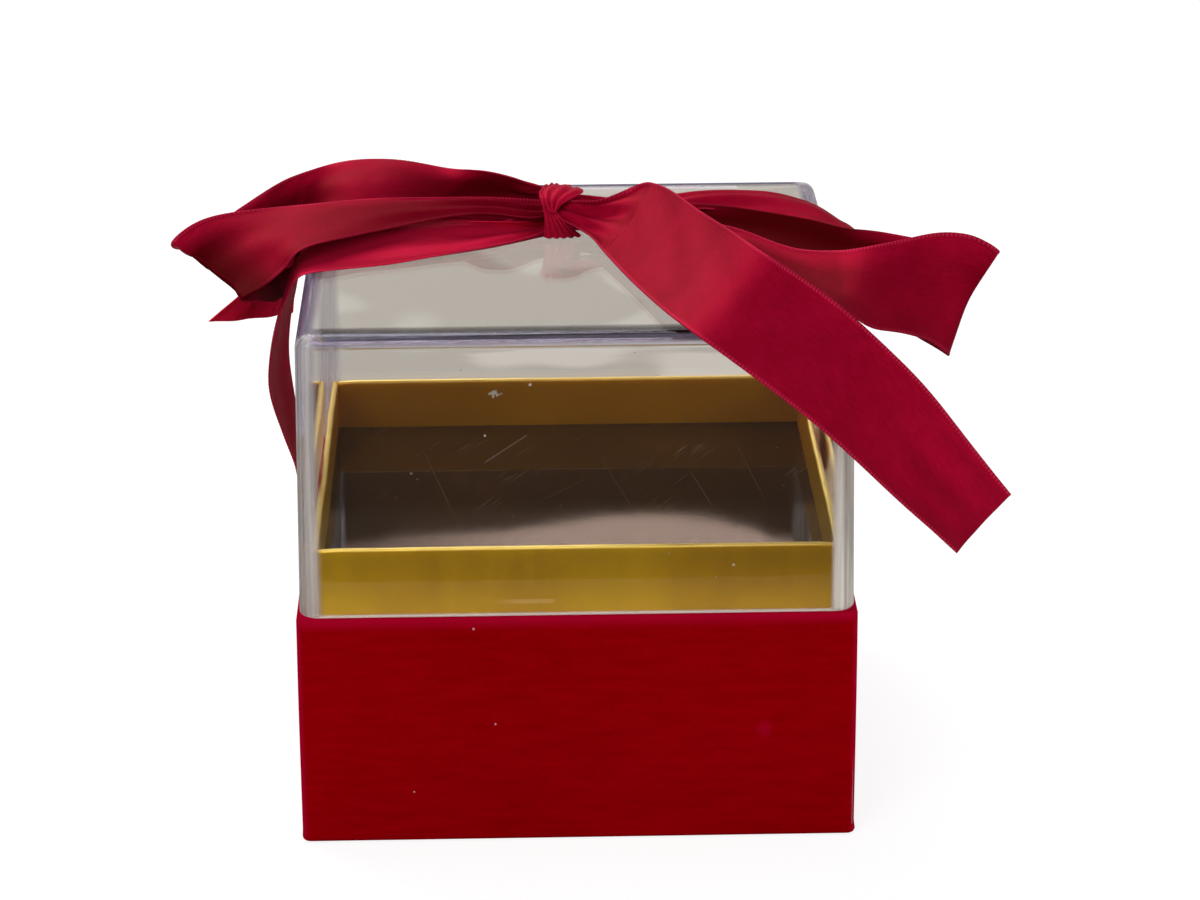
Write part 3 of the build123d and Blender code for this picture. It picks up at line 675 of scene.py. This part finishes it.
# The edges look partly straight through, tinted violet, and pale at the right corners, as a painted edge
# light. Dust lies in specks; a painted highlight runs along the rim; and the corners carry upright
# streaks of wear, painted paler to the right as painted light.
painted_edge_light = start.node("ShaderNodeMixShader", {}, {0: right_corner_light, 1: violet, 2: pale})
edge_light_share = ((upright + top_edge) * 0.6).math("MINIMUM", 0.6) + right_corner_light * 0.25
glass_with_edge_light = start.node("ShaderNodeMixShader", {}, {0: edge_light_share, 1: glass, 2: painted_edge_light})
specks = place.specks(120.0, edge=0.05, core=0.02) * place.noise(40.0, 1.0).rise(0.5, 0.62) * 0.5
rim_highlight = z_lid.near(lid_bottom, far=-0.7 * MM, close=-0.2 * MM) * 0.7
streaks = place.stretched(1.0, 1.0, 0.02).noise(900.0, 1.0).rise(0.3, 0.7)
corner_wear_and_light = upright * (rightwards * 0.42 + 0.28) * (streaks * 0.8 + 0.7)
dust_and_painted_light = specks.math("MAXIMUM", rim_highlight).math("MAXIMUM", corner_wear_and_light)
with_dust_and_light = start.node("ShaderNodeMixShader", {}, {0: dust_and_painted_light, 1: glass_with_edge_light, 2: dust_and_light_film})
shadow_ray = Wire(start.tree, start.node("ShaderNodeLightPath", {}, {}).socket.node.outputs["Is Shadow Ray"])
start.node("ShaderNodeMixShader", {}, {0: shadow_ray, 1: with_dust_and_light, 2: clear}).into("Material Output", "Surface")
start.node("ShaderNodeVolumeAbsorption", {}, {
    "Color": LID_TINT, "Density": LID_TINT_DENSITY}).into("Material Output", "Volume")
dress(clear_lid, lid_finish)
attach(clear_lid, "lid")
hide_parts("lid_shell")

# Knot: one length of 25 mm double-faced satin with woven selvedges is tied over the lid. It passes once
# round its own gathered strips, pinched to a narrow ridge at the front and spread in pleats below it.
# A second fold fans out over the top, and a lump inside stands for the layers that are wound up there.
RIBBON, SATIN, SELVEDGE, BEAD, TWILL = 25.0 * MM, 0.30 * MM, 0.75 * MM, 0.80 * MM, 0.42 * MM
RIBBON_LIFT, RIBBON_STEP, CROWN = 0.45 * MM, 0.25 * MM, 0.05
PLEAT_MOST, NARROWEST, WAVE_DEPTH, QUIET_END = 1.6 * MM, 1.0 * MM, 0.25 * MM, 8.0 * MM
BEAD_HEIGHT, RIM_THINNER, PLEAT_FREE_EDGE, SHADE_SPARED_EDGE, SHADE_SPARED_EDGE_FADE = 0.10 * MM, 0.35, 0.12, 0.80, 0.35
KNOT_LENGTH, KNOT_DEPTH, KNOT_HEIGHT, KNOT_PAINTED_LIGHT = 9.0 * MM, 18.0 * MM, 9.0 * MM, -0.4
CORE_SHARES, CORE_AROUND, CORE_UP = (0.36, 0.32, 0.34), 28, 15
top_half = rim_half - LID_LEAN
ribbon_rest = lid_top + RIBBON_LIFT
knot_along, knot_across = -0.034 * top_half, 0.342 * top_half
crossways = np.concatenate((
    [-1.0, -0.985, -0.97, -0.955, -0.94, -0.90], np.linspace(-0.84, 0.84, 19),
    [0.90, 0.94, 0.955, 0.97, 0.985, 1.0]))


def at_knot(side, across_share, rise_share):
    """A point on the knot's left (-1) or right (1) end, in shares of the knot's depth and height."""
    return (knot_along + side * KNOT_LENGTH / 2, knot_across + across_share * KNOT_DEPTH,
            ribbon_rest + rise_share * KNOT_HEIGHT)


def over_lid(along_share, across_share, rise_share):
    """A point over or beyond the lid's top, in shares of half its top and of the ribbon's width."""
    return along_share * top_half, across_share * top_half, ribbon_rest + rise_share * RIBBON


def station(back, front, bow=CROWN, pleat=1.0, painted_shade=0.0):
    """One cross-section of the ribbon.

    Two edge points, how far it bows as a share of its width, how far it is pleated, and how much
    painted shade it has. A bow above 0 is towards the face that lies underneath where the stretch leaves
    the knot. Painted shade below 0 is painted light instead, from 0 to 1 it spares the back edge, and at
    2 that is shaded too.
    """
    return *back, *front, bow, pleat, painted_shade


def even_sections(stations, soften):
    """Sections at even steps along the ribbon, and how far along each is: cubics through the stations.

    A station's slope is the way from its neighbour before to its neighbour after, over the way's length.
    Each section is then the mean of itself and its neighbours, this many on each side.
    """
    stations = np.array(stations)
    middles = (stations[:, 0:3] + stations[:, 3:6]) / 2
    reach = np.concatenate(([0], np.cumsum(np.linalg.norm(np.diff(middles, axis=0), axis=1))))
    before = np.maximum(np.arange(len(reach)) - 1, 0)
    after = np.minimum(np.arange(len(reach)) + 1, len(reach) - 1)
    slopes = (stations[after] - stations[before]) / (reach[after] - reach[before])[:, None]
    way = np.linspace(0, reach[-1], int(reach[-1] / RIBBON_STEP) + 1)
    index = np.clip(np.searchsorted(reach, way, side="right") - 1, 0, len(reach) - 2)
    gap = (reach[index + 1] - reach[index])[:, None]
    share = (way - reach[index])[:, None] / gap
    ease = share * share * (3 - 2 * share)
    sections = (stations[index] * (1 - ease) + stations[index + 1] * ease
                + slopes[index] * gap * share * (1 - share) ** 2
                + slopes[index + 1] * gap * share * share * (share - 1))
    longer = np.pad(sections, ((soften, soften), (0, 0)), mode="reflect", reflect_type="odd")
    sums = np.cumsum(np.vstack((np.zeros((1, longer.shape[1])), longer)), axis=0)
    width = 2 * soften + 1
    return (sums[width:] - sums[:-width]) / width, way


def unit(vectors):
    """Each vector over its own length."""
    return vectors / np.maximum(np.linalg.norm(vectors, axis=-1, keepdims=True), 1e-12)


def gathered(sections, way, side, pleats):
    """The ribbon's middle surface, straight from edge to edge and then moved off that line.

    It bows by a share of its width. Where the edges are nearer than the ribbon is wide, cosine pleats
    take up the slack: their height is the gap over pi and the number of pleats, times the square root
    of the ribbon's width over the gap, less one. Slow waves ride on it, and fade out at its ends.
    """
    back, front = sections[:, None, 0:3], sections[:, None, 3:6]
    bow, pleat = sections[:, 6:7], sections[:, 7:8]
    share = (1 + crossways[None, :, None]) / 2
    sheet = back * share + front * (1 - share)
    gap = np.linalg.norm(back - front, axis=-1)
    tangent = unit(np.gradient((back + front) / 2, axis=0))
    outward = unit(np.cross(tangent, unit(back - front))) * -side
    along, across = way[:, None], crossways[None]
    slack = np.sqrt(np.maximum(RIBBON / np.maximum(gap, NARROWEST) - 1, 0))
    height = np.minimum(gap / (math.pi * pleats) * slack, PLEAT_MOST)
    wave = 0.5 - 0.5 * np.cos(math.pi * pleats * (across + 1) + 0.6 * np.sin(along * 60))
    fade = np.minimum(1, (1 - abs(across)) / PLEAT_FREE_EDGE)
    slow = WAVE_DEPTH * np.sin(along * 150 + across * 2.2) * np.sin(across * 2.6 + along * 45)
    quiet = np.minimum(1, np.minimum(way, way[-1] - way) / QUIET_END)[:, None]
    offset = bow * gap * (1 - across ** 2) + pleat * height * wave * fade + slow * quiet
    return sheet + outward * offset[..., None]


def both_faces(sheet, way, side):
    """The ribbon's two faces, half its thickness off the middle surface along its normal.

    Both thin out over the selvedge by the fourth power of the way to its rim, and swell there in a row
    of beads, a sine across times a cosine along.
    """
    normal = unit(np.cross(np.gradient(sheet, axis=0), np.gradient(sheet, axis=1))) * -side
    selvedge_share = SELVEDGE / (RIBBON / 2)
    to_rim = np.clip((abs(crossways) - 1 + selvedge_share) / selvedge_share, 0, 1)
    bead = np.sin(math.pi * to_rim)[None] * (0.5 + 0.5 * np.cos(2 * math.pi * way[:, None] / BEAD))
    thick = (SATIN / 2) * (1 - RIM_THINNER * to_rim[None] ** 4) + BEAD_HEIGHT * bead
    return sheet + normal * thick[..., None], sheet - normal * thick[..., None]


def satin_strip(name, stations, side, pleats=2.5, soften=2):
    """(a stretch of ribbon between two edge lines as a closed sheet with both faces, its length).

    Its map holds the metres along and across the flat ribbon, and its attribute its painted shade, which
    is painted light below 0.
    """
    sections, way = even_sections(stations, soften)
    face, other_face = both_faces(gathered(sections, way, side, pleats), way, side)
    count, wide = face.shape[:2]
    loop = np.concatenate((face, other_face[:, ::-1]), axis=1)
    step = np.arange(wide - 1)
    first_end = np.stack((step, step + 1, 2 * wide - 2 - step, 2 * wide - 1 - step), -1)
    last_end = (first_end + (count - 1) * 2 * wide)[:, ::-1]
    faces = np.concatenate((ring_quads(count, 2 * wide), first_end, last_end))
    if side < 0:
        faces = faces[:, ::-1]
    piece = mesh_piece(name, loop, faces.tolist())
    painted_shade = sections[:, 8:9]
    # Painted shade from each section's amount, spared towards the back edge; below 0 it is painted light.
    off_back_edge = np.clip((SHADE_SPARED_EDGE - crossways[None]) / SHADE_SPARED_EDGE_FADE, 0, 1)
    depth = np.clip(np.clip(painted_shade, 0, 1) * off_back_edge + np.clip(painted_shade - 1, 0, 1), 0, 1) + np.minimum(painted_shade, 0)
    shade = piece.data.attributes.new("hollow", "FLOAT", "POINT")
    shade.data.foreach_set("value", np.hstack((depth, depth[:, ::-1])).astype(np.float32).ravel())
    across = np.concatenate((crossways, crossways[::-1])) * RIBBON / 2
    flat = np.stack(np.broadcast_arrays(way[:, None], across[None]), -1).reshape(-1, 2)
    corners = np.empty(len(piece.data.loops), np.int32)
    piece.data.loops.foreach_get("vertex_index", corners)
    layer = piece.data.uv_layers.new(name="ribbon")
    layer.data.foreach_set("uv", flat[corners].astype(np.float32).ravel())
    return merge_doubles(piece), float(way[-1])


SATIN_RED, SATIN_DEEP, SATIN_SELVEDGE_AND_HIGHLIGHT = rgb(163, 8, 45), rgb(137, 3, 33), rgb(196, 48, 80)
SATIN_PAINTED_SHADE, SATIN_PAINTED_LIGHT = rgb(74, 0, 4), rgb(214, 26, 66)
satin_finish, start, feed = finish_named(
    "burgundy_satin", Metallic=0.35, Roughness=0.38, Sheen_Weight=0.04, Sheen_Roughness=0.4,
    Sheen_Tint=(1.0, 0.10, 0.25, 1.0), Specular_IOR_Level=0.025, Specular_Tint=(0.9, 0.26, 0.40, 1.0))
flat = start.node("ShaderNodeUVMap", {"uv_map": "ribbon"}, {})
along, across, _ = flat.parts()
twill = ((along + across * 0.8) * (2 * math.pi / TWILL)).math("SINE")
ribs = (along * (2 * math.pi / BEAD)).math("COSINE")
at_edge = abs(across).near(RIBBON / 2, far=1.25 * SELVEDGE, close=0.9 * SELVEDGE)
slubs = flat.stretched(0.12, 1.0, 1.0).noise(2600.0, 2.0)
mottle = flat.noise(120.0, 3.0)
# Painted shade and light: the attribute darkens the insides of loops and folds, and lightens the knot, the
# bands' tops and the short tail.
hollow = start.node("ShaderNodeAttribute", {"attribute_name": "hollow"}, {}, out=2)
tone = twill * 0.08 + slubs * 0.52 + mottle * 0.42
colour = tone.rise(0.30, 0.75).blend(SATIN_DEEP, SATIN_RED)
# The selvedge is paler on each bead's crest: partly the woven edge's own tone, partly a painted highlight.
colour = (at_edge * (ribs * 0.5 + 0.5) * 0.55).blend(colour, SATIN_SELVEDGE_AND_HIGHLIGHT)
colour = (hollow * -1.0).blend(hollow.blend(colour, SATIN_PAINTED_SHADE), SATIN_PAINTED_LIGHT)
colour = (flat.specks(75.0, edge=0.018, core=0.010) * 0.8).blend(colour, LINT_WHITE)
body = twill * (1.0 - at_edge) * 0.3 + slubs * 0.6
feed(Base_Color=colour, Roughness=slubs * 0.10 + 0.36 + hollow * 0.15, Normal=body.bump(0.05 * MM, 0.8))


def tied(piece, node):
    """The piece wears the satin, moves with the lid and stands for this node."""
    dress(piece, satin_finish)
    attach(piece, "lid")
    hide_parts(node)


# The knot's folds are painted paler, as painted light.
knot_wrap = [
    station(at_knot(-0.70, 0.44, 0.04), at_knot(0.90, 0.44, 0.04), painted_shade=KNOT_PAINTED_LIGHT),
    station(at_knot(-0.75, 0.44, 0.60), at_knot(0.80, 0.44, 0.60), painted_shade=KNOT_PAINTED_LIGHT),
    station(at_knot(-0.80, 0.26, 0.86), at_knot(0.60, 0.26, 0.82), painted_shade=KNOT_PAINTED_LIGHT),
    station(at_knot(-0.90, 0.02, 0.96), at_knot(0.20, 0.02, 0.90), painted_shade=KNOT_PAINTED_LIGHT),
    station(at_knot(-1.04, -0.22, 0.96), at_knot(-0.45, -0.28, 0.90), painted_shade=KNOT_PAINTED_LIGHT),
    station(at_knot(-0.86, -0.45, 0.76), at_knot(-0.30, -0.47, 0.74), painted_shade=KNOT_PAINTED_LIGHT),
    station(at_knot(-0.78, -0.52, 0.44), at_knot(0.30, -0.53, 0.40), painted_shade=KNOT_PAINTED_LIGHT),
    station(at_knot(-0.82, -0.52, 0.03), at_knot(1.05, -0.44, 0.02), painted_shade=KNOT_PAINTED_LIGHT),
]
knot_fan = [
    station(at_knot(-0.50, -0.55, 0.66), at_knot(-0.30, -0.55, 0.63), painted_shade=KNOT_PAINTED_LIGHT),
    station(at_knot(-0.84, -0.42, 0.88), at_knot(0.05, -0.48, 0.82), pleat=0.8, painted_shade=KNOT_PAINTED_LIGHT),
    station(at_knot(-0.90, -0.20, 0.98), at_knot(0.65, -0.36, 0.93), pleat=0.45, painted_shade=KNOT_PAINTED_LIGHT),
    station(at_knot(-0.75, -0.03, 1.00), at_knot(1.15, -0.20, 0.97), pleat=0.3, painted_shade=KNOT_PAINTED_LIGHT),
    station(at_knot(-0.50, 0.22, 0.90), at_knot(1.10, 0.10, 0.88), pleat=0.3, painted_shade=KNOT_PAINTED_LIGHT),
    station(at_knot(-0.30, 0.42, 0.50), at_knot(0.90, 0.40, 0.50), painted_shade=KNOT_PAINTED_LIGHT),
]
around = np.linspace(0, 2 * math.pi, CORE_AROUND, endpoint=False)
upward = np.linspace(-math.pi / 2, math.pi / 2, CORE_UP)[:, None]
ball = np.stack(np.broadcast_arrays(
    np.cos(upward) * np.cos(around), np.cos(upward) * np.sin(around), np.sin(upward)), -1)
core_half = np.array(CORE_SHARES) * (KNOT_LENGTH, KNOT_DEPTH, KNOT_HEIGHT)
knot_core = mesh_piece("satin_knot_core", ball * core_half + at_knot(0, 0.05, 0.45),
                       ring_quads(CORE_UP, CORE_AROUND).tolist())
tied(merge_doubles(knot_core), "bow_knot")
for name, stations, side, pleats in (("satin_knot", knot_wrap, 1, 5.0),
                                     ("satin_knot_fan", knot_fan, -1, 3.0)):
    fold, _ = satin_strip(name, stations, side, pleats)
    tied(fold, "bow_knot")

# Bands: the ribbon runs from the knot over the lid's top to the left and to the right, and down both
# walls, where its ends are stuck just above the rim.
# The bands are painted paler over the lid's top, as painted light, and darker down the walls, as painted
# shade.
BAND_PAINTED_LIGHT, BAND_PAINTED_SHADE, ON_WALL = -0.5, 0.2, {"bow": -0.04, "pleat": 0.0}


def down_side(side, across_share, fall_share, out_share):
    """A point beside the lid's left (-1) or right (1) wall.

    Its place is in shares of half the top, of the lid's height and of the ribbon's width.
    """
    wall = top_half + LID_LEAN * fall_share
    return (side * (wall + RIBBON_LIFT + out_share * RIBBON), across_share * top_half,
            lid_top - fall_share * (lid_top - lid_bottom))


def ribbon_stretch(name, node, stations, side, soften):
    """A stretch of ribbon in satin, tied to the lid."""
    strip, length = satin_strip(name, stations, side, soften=soften)
    tied(strip, node)


band_left = [
    station(at_knot(-0.2, 0.00, 0.24), at_knot(-0.2, -0.32, 0.22), painted_shade=BAND_PAINTED_LIGHT),
    station(at_knot(-1, 0.06, 0.22), at_knot(-1, -0.46, 0.10), painted_shade=BAND_PAINTED_LIGHT),
    station(over_lid(-0.34, 0.36, 0.12), over_lid(-0.34, 0.04, 0.01), painted_shade=BAND_PAINTED_LIGHT),
    station(over_lid(-0.64, 0.28, 0.16), over_lid(-0.64, -0.11, 0.00), pleat=0.5, painted_shade=BAND_PAINTED_LIGHT),
    station(over_lid(-0.90, 0.20, 0.11), over_lid(-0.90, -0.20, 0.00), pleat=0.3, painted_shade=BAND_PAINTED_LIGHT),
    station(over_lid(-1.01, 0.21, -0.04), over_lid(-1.01, -0.21, -0.04), bow=-0.02, pleat=0.0,
            painted_shade=BAND_PAINTED_LIGHT),
]
for fall, back_out, front_out in (
        (0.05, 0.05, 0.09), (0.17, 0.10, 0.21), (0.30, 0.16, 0.28), (0.43, 0.18, 0.29),
        (0.59, 0.13, 0.19), (0.75, 0.06, 0.07), (0.94, 0.00, 0.00)):
    band_left.append(station(down_side(-1, 0.21, fall, back_out), down_side(-1, -0.21, fall, front_out),
                             painted_shade=BAND_PAINTED_SHADE, **ON_WALL))
band_right = [
    station(at_knot(0.2, 0.16, 0.30), at_knot(0.2, -0.20, 0.22)),
    station(at_knot(1, 0.28, 0.23), at_knot(1, -0.23, 0.18)),
    station(over_lid(0.48, 0.53, 0.18), over_lid(0.48, 0.31, 0.16), bow=-0.10, pleat=0.6),
    station(over_lid(0.75, 0.58, 0.11), over_lid(0.755, 0.30, 0.12), bow=-0.16, pleat=0.4),
    station(over_lid(0.92, 0.55, 0.04), over_lid(0.91, 0.24, 0.09), bow=-0.14, pleat=0.4),
    station(over_lid(1.02, 0.53, -0.02), over_lid(1.03, 0.14, 0.06), bow=-0.04, pleat=0.4),
    station(over_lid(1.06, 0.51, -0.14), over_lid(1.13, 0.07, 0.00), bow=-0.03, pleat=0.0),
    station(down_side(1, 0.51, 0.20, 0.10), down_side(1, 0.08, 0.15, 0.22), **ON_WALL),
    station(down_side(1, 0.51, 0.42, 0.08), down_side(1, 0.09, 0.40, 0.18), **ON_WALL),
    station(down_side(1, 0.52, 0.68, 0.03), down_side(1, 0.10, 0.68, 0.06), **ON_WALL),
    station(down_side(1, 0.53, 0.94, 0.00), down_side(1, 0.12, 0.94, 0.00), **ON_WALL),
]
ribbon_stretch("satin_band_left", "ribbon_band_left", band_left, side=-1, soften=3)
ribbon_stretch("satin_band_right", "ribbon_band_right", band_right, side=1, soften=3)

# Loops: each loop runs from the knot out past the lid's edge, turns loosely, and comes back to the
# knot above or behind itself. The insides of the loops are painted darker, as painted shade.
loop_left = [
    station(at_knot(-0.2, 0.14, 0.60), at_knot(-0.2, -0.24, 0.48), painted_shade=0.5),
    station(at_knot(-1, 0.17, 0.61), at_knot(-1, -0.36, 0.44), painted_shade=0.6),
    station(over_lid(-0.34, 0.37, 0.27), over_lid(-0.34, 0.26, 0.18), bow=-0.04, pleat=0.5, painted_shade=0.6),
    station(over_lid(-0.65, 0.34, 0.28), over_lid(-0.65, 0.13, 0.16), bow=-0.06, pleat=0.2, painted_shade=0.6),
    station(over_lid(-0.92, 0.32, 0.27), over_lid(-0.89, -0.02, 0.15), bow=-0.02, pleat=0.0, painted_shade=0.4),
    station(over_lid(-1.15, 0.27, 0.26), over_lid(-1.02, -0.11, 0.12), bow=0.02, pleat=0.2, painted_shade=0.22),
    station(over_lid(-1.35, 0.12, 0.29), over_lid(-1.08, -0.13, -0.04), bow=0.04, pleat=0.3, painted_shade=0.4),
    station(over_lid(-1.45, 0.02, 0.25), over_lid(-1.16, -0.22, -0.15), pleat=0.4, painted_shade=0.95),
    station(over_lid(-1.51, -0.03, 0.15), over_lid(-1.23, -0.29, -0.19), painted_shade=1.0),
    station(over_lid(-1.48, 0.09, 0.01), over_lid(-1.19, -0.15, -0.30), painted_shade=0.5),
    station(over_lid(-1.33, 0.27, 0.15), over_lid(-1.12, 0.14, -0.52), bow=-0.06, painted_shade=0.75),
    station(over_lid(-1.13, 0.48, 0.34), over_lid(-1.05, 0.40, -0.44), bow=-0.08, pleat=0.0, painted_shade=0.8),
    station(over_lid(-1.01, 0.54, 0.42), over_lid(-1.00, 0.40, 0.04), bow=-0.06, pleat=0.0, painted_shade=0.6),
    station(over_lid(-0.86, 0.59, 0.48), over_lid(-0.90, 0.24, 0.08), bow=0.06, pleat=0.3, painted_shade=0.3),
    station(over_lid(-0.66, 0.62, 0.46), over_lid(-0.74, 0.24, 0.08), bow=0.10, pleat=0.3, painted_shade=0.3),
    station(over_lid(-0.46, 0.58, 0.40), over_lid(-0.62, 0.34, 0.10), bow=0.0, pleat=0.0, painted_shade=0.7),
    station(over_lid(-0.34, 0.47, 0.45), over_lid(-0.46, 0.50, 0.04), bow=-0.12, pleat=0.0, painted_shade=0.75),
    station(over_lid(-0.20, 0.42, 0.41), over_lid(-0.26, 0.50, 0.08), bow=-0.10, pleat=0.2, painted_shade=0.75),
    station(at_knot(-1, 0.33, 0.88), at_knot(-1, 0.22, 0.40), painted_shade=0.6),
    station(at_knot(-0.2, 0.20, 0.80), at_knot(-0.2, 0.10, 0.50)),
]
loop_right = [
    station(at_knot(0.2, 0.08, 0.50), at_knot(0.2, -0.22, 0.40)),
    station(at_knot(1, 0.11, 0.49), at_knot(1, -0.39, 0.34)),
    station(over_lid(0.34, 0.21, 0.19), over_lid(0.29, 0.00, 0.10)),
    station(over_lid(0.63, 0.04, 0.17), over_lid(0.57, -0.26, 0.08), pleat=0.4, painted_shade=0.5),
    station(over_lid(0.86, -0.15, 0.11), over_lid(0.84, -0.54, 0.06), bow=0.10, pleat=0.2, painted_shade=0.6),
    station(over_lid(1.02, -0.31, 0.20), over_lid(0.98, -0.79, 0.02), bow=0.10, pleat=0.2, painted_shade=0.5),
    station(over_lid(1.11, -0.34, 0.26), over_lid(1.06, -0.76, -0.17), bow=0.06, pleat=0.3, painted_shade=0.3),
    station(over_lid(1.22, -0.33, 0.30), over_lid(1.18, -0.67, -0.28), bow=0.04, pleat=0.5, painted_shade=0.25),
    station(over_lid(1.38, -0.32, 0.365), over_lid(1.31, -0.56, -0.44), pleat=0.6, painted_shade=0.35),
    station(over_lid(1.53, -0.34, 0.32), over_lid(1.38, -0.50, -0.60), painted_shade=0.3),
    station(over_lid(1.60, -0.36, 0.19), over_lid(1.40, -0.48, -0.66), painted_shade=0.4),
    station(over_lid(1.55, -0.24, 0.18), over_lid(1.37, -0.36, -0.68)),
    station(over_lid(1.38, -0.10, 0.12), over_lid(1.23, -0.27, -0.51), painted_shade=0.5),
    station(over_lid(1.15, -0.04, 0.19), over_lid(1.08, -0.24, -0.02), bow=-0.2, pleat=0.4, painted_shade=1.4),
    station(over_lid(1.04, 0.01, 0.18), over_lid(0.93, -0.26, 0.02), bow=-0.26, pleat=0.3, painted_shade=2.0),
    station(over_lid(0.92, 0.10, 0.205), over_lid(0.82, -0.19, 0.02), bow=-0.26, pleat=0.3, painted_shade=2.0),
    station(over_lid(0.74, 0.22, 0.205), over_lid(0.65, -0.06, 0.02), bow=-0.26, pleat=0.3, painted_shade=2.0),
    station(over_lid(0.50, 0.36, 0.18), over_lid(0.38, 0.10, 0.03), bow=-0.20, pleat=0.4, painted_shade=1.6),
    station(at_knot(1, 0.39, 0.50), at_knot(1, 0.04, 0.30)),
    station(at_knot(0.2, 0.26, 0.60), at_knot(0.2, 0.00, 0.40)),
]
ribbon_stretch("satin_loop_left", "bow_loop_left", loop_left, side=-1, soften=12)
ribbon_stretch("satin_loop_right", "bow_loop_right", loop_right, side=1, soften=14)

# Tails: the ribbon's two ends. The long one falls from the knot over the lid's front right corner and
# stands free beyond it. The short one lies over the left edge behind the band and hangs beside it.
# The short tail is painted paler, as painted light.
TAIL_PAINTED_LIGHT = -0.9
tail_front = [
    station(at_knot(-0.3, -0.22, 0.74), at_knot(-0.9, -0.36, 0.62), pleat=0.3),
    station(at_knot(0.55, -0.36, 0.93), at_knot(-0.38, -0.54, 0.66), pleat=0.4),
    station(at_knot(1.25, -0.42, 0.86), at_knot(0.30, -0.58, 0.42), pleat=0.5),
    station(over_lid(0.16, 0.30, 0.29), over_lid(0.07, 0.09, 0.11), pleat=0.6),
    station(over_lid(0.29, 0.31, 0.44), over_lid(0.11, -0.02, 0.05)),
    station(over_lid(0.48, -0.22, 0.52), over_lid(0.25, -0.56, 0.04)),
    station(over_lid(0.67, -0.77, 0.54), over_lid(0.41, -1.04, 0.03)),
    station(over_lid(0.87, -0.94, 0.31), over_lid(0.64, -1.22, -0.26)),
    station(over_lid(1.04, -1.04, 0.03), over_lid(0.80, -1.33, -0.49)),
    station(over_lid(1.22, -1.11, -0.36), over_lid(0.98, -1.40, -0.84)),
    station(over_lid(1.39, -1.15, -0.86), over_lid(1.16, -1.46, -1.22)),
    station(over_lid(1.55, -1.16, -1.34), over_lid(1.32, -1.51, -1.54)),
]
tail_left = [
    station(at_knot(-0.2, 0.26, 0.36), at_knot(-0.2, -0.10, 0.32), painted_shade=TAIL_PAINTED_LIGHT),
    station(at_knot(-1, 0.33, 0.34), at_knot(-1, -0.19, 0.28), painted_shade=TAIL_PAINTED_LIGHT),
    station(over_lid(-0.43, 0.62, 0.06), over_lid(-0.43, 0.29, 0.08), painted_shade=TAIL_PAINTED_LIGHT),
    station(over_lid(-0.77, 0.67, 0.03), over_lid(-0.77, 0.27, 0.05), bow=-0.02, pleat=0.5, painted_shade=TAIL_PAINTED_LIGHT),
    station(over_lid(-0.96, 0.65, 0.02), over_lid(-0.96, 0.24, 0.04), bow=-0.03, pleat=0.3, painted_shade=TAIL_PAINTED_LIGHT),
    station(over_lid(-1.05, 0.62, -0.10), over_lid(-1.08, 0.23, -0.08), painted_shade=TAIL_PAINTED_LIGHT),
    station(over_lid(-1.07, 0.51, -0.48), over_lid(-1.23, 0.16, -0.40), painted_shade=TAIL_PAINTED_LIGHT),
    station(over_lid(-1.08, 0.39, -0.82), over_lid(-1.39, 0.14, -0.71), painted_shade=TAIL_PAINTED_LIGHT),
]
ribbon_stretch("satin_tail_front", "bow_tail_front", tail_front, side=1, soften=16)
ribbon_stretch("satin_tail_left", "bow_tail_left", tail_left, side=-1, soften=4)
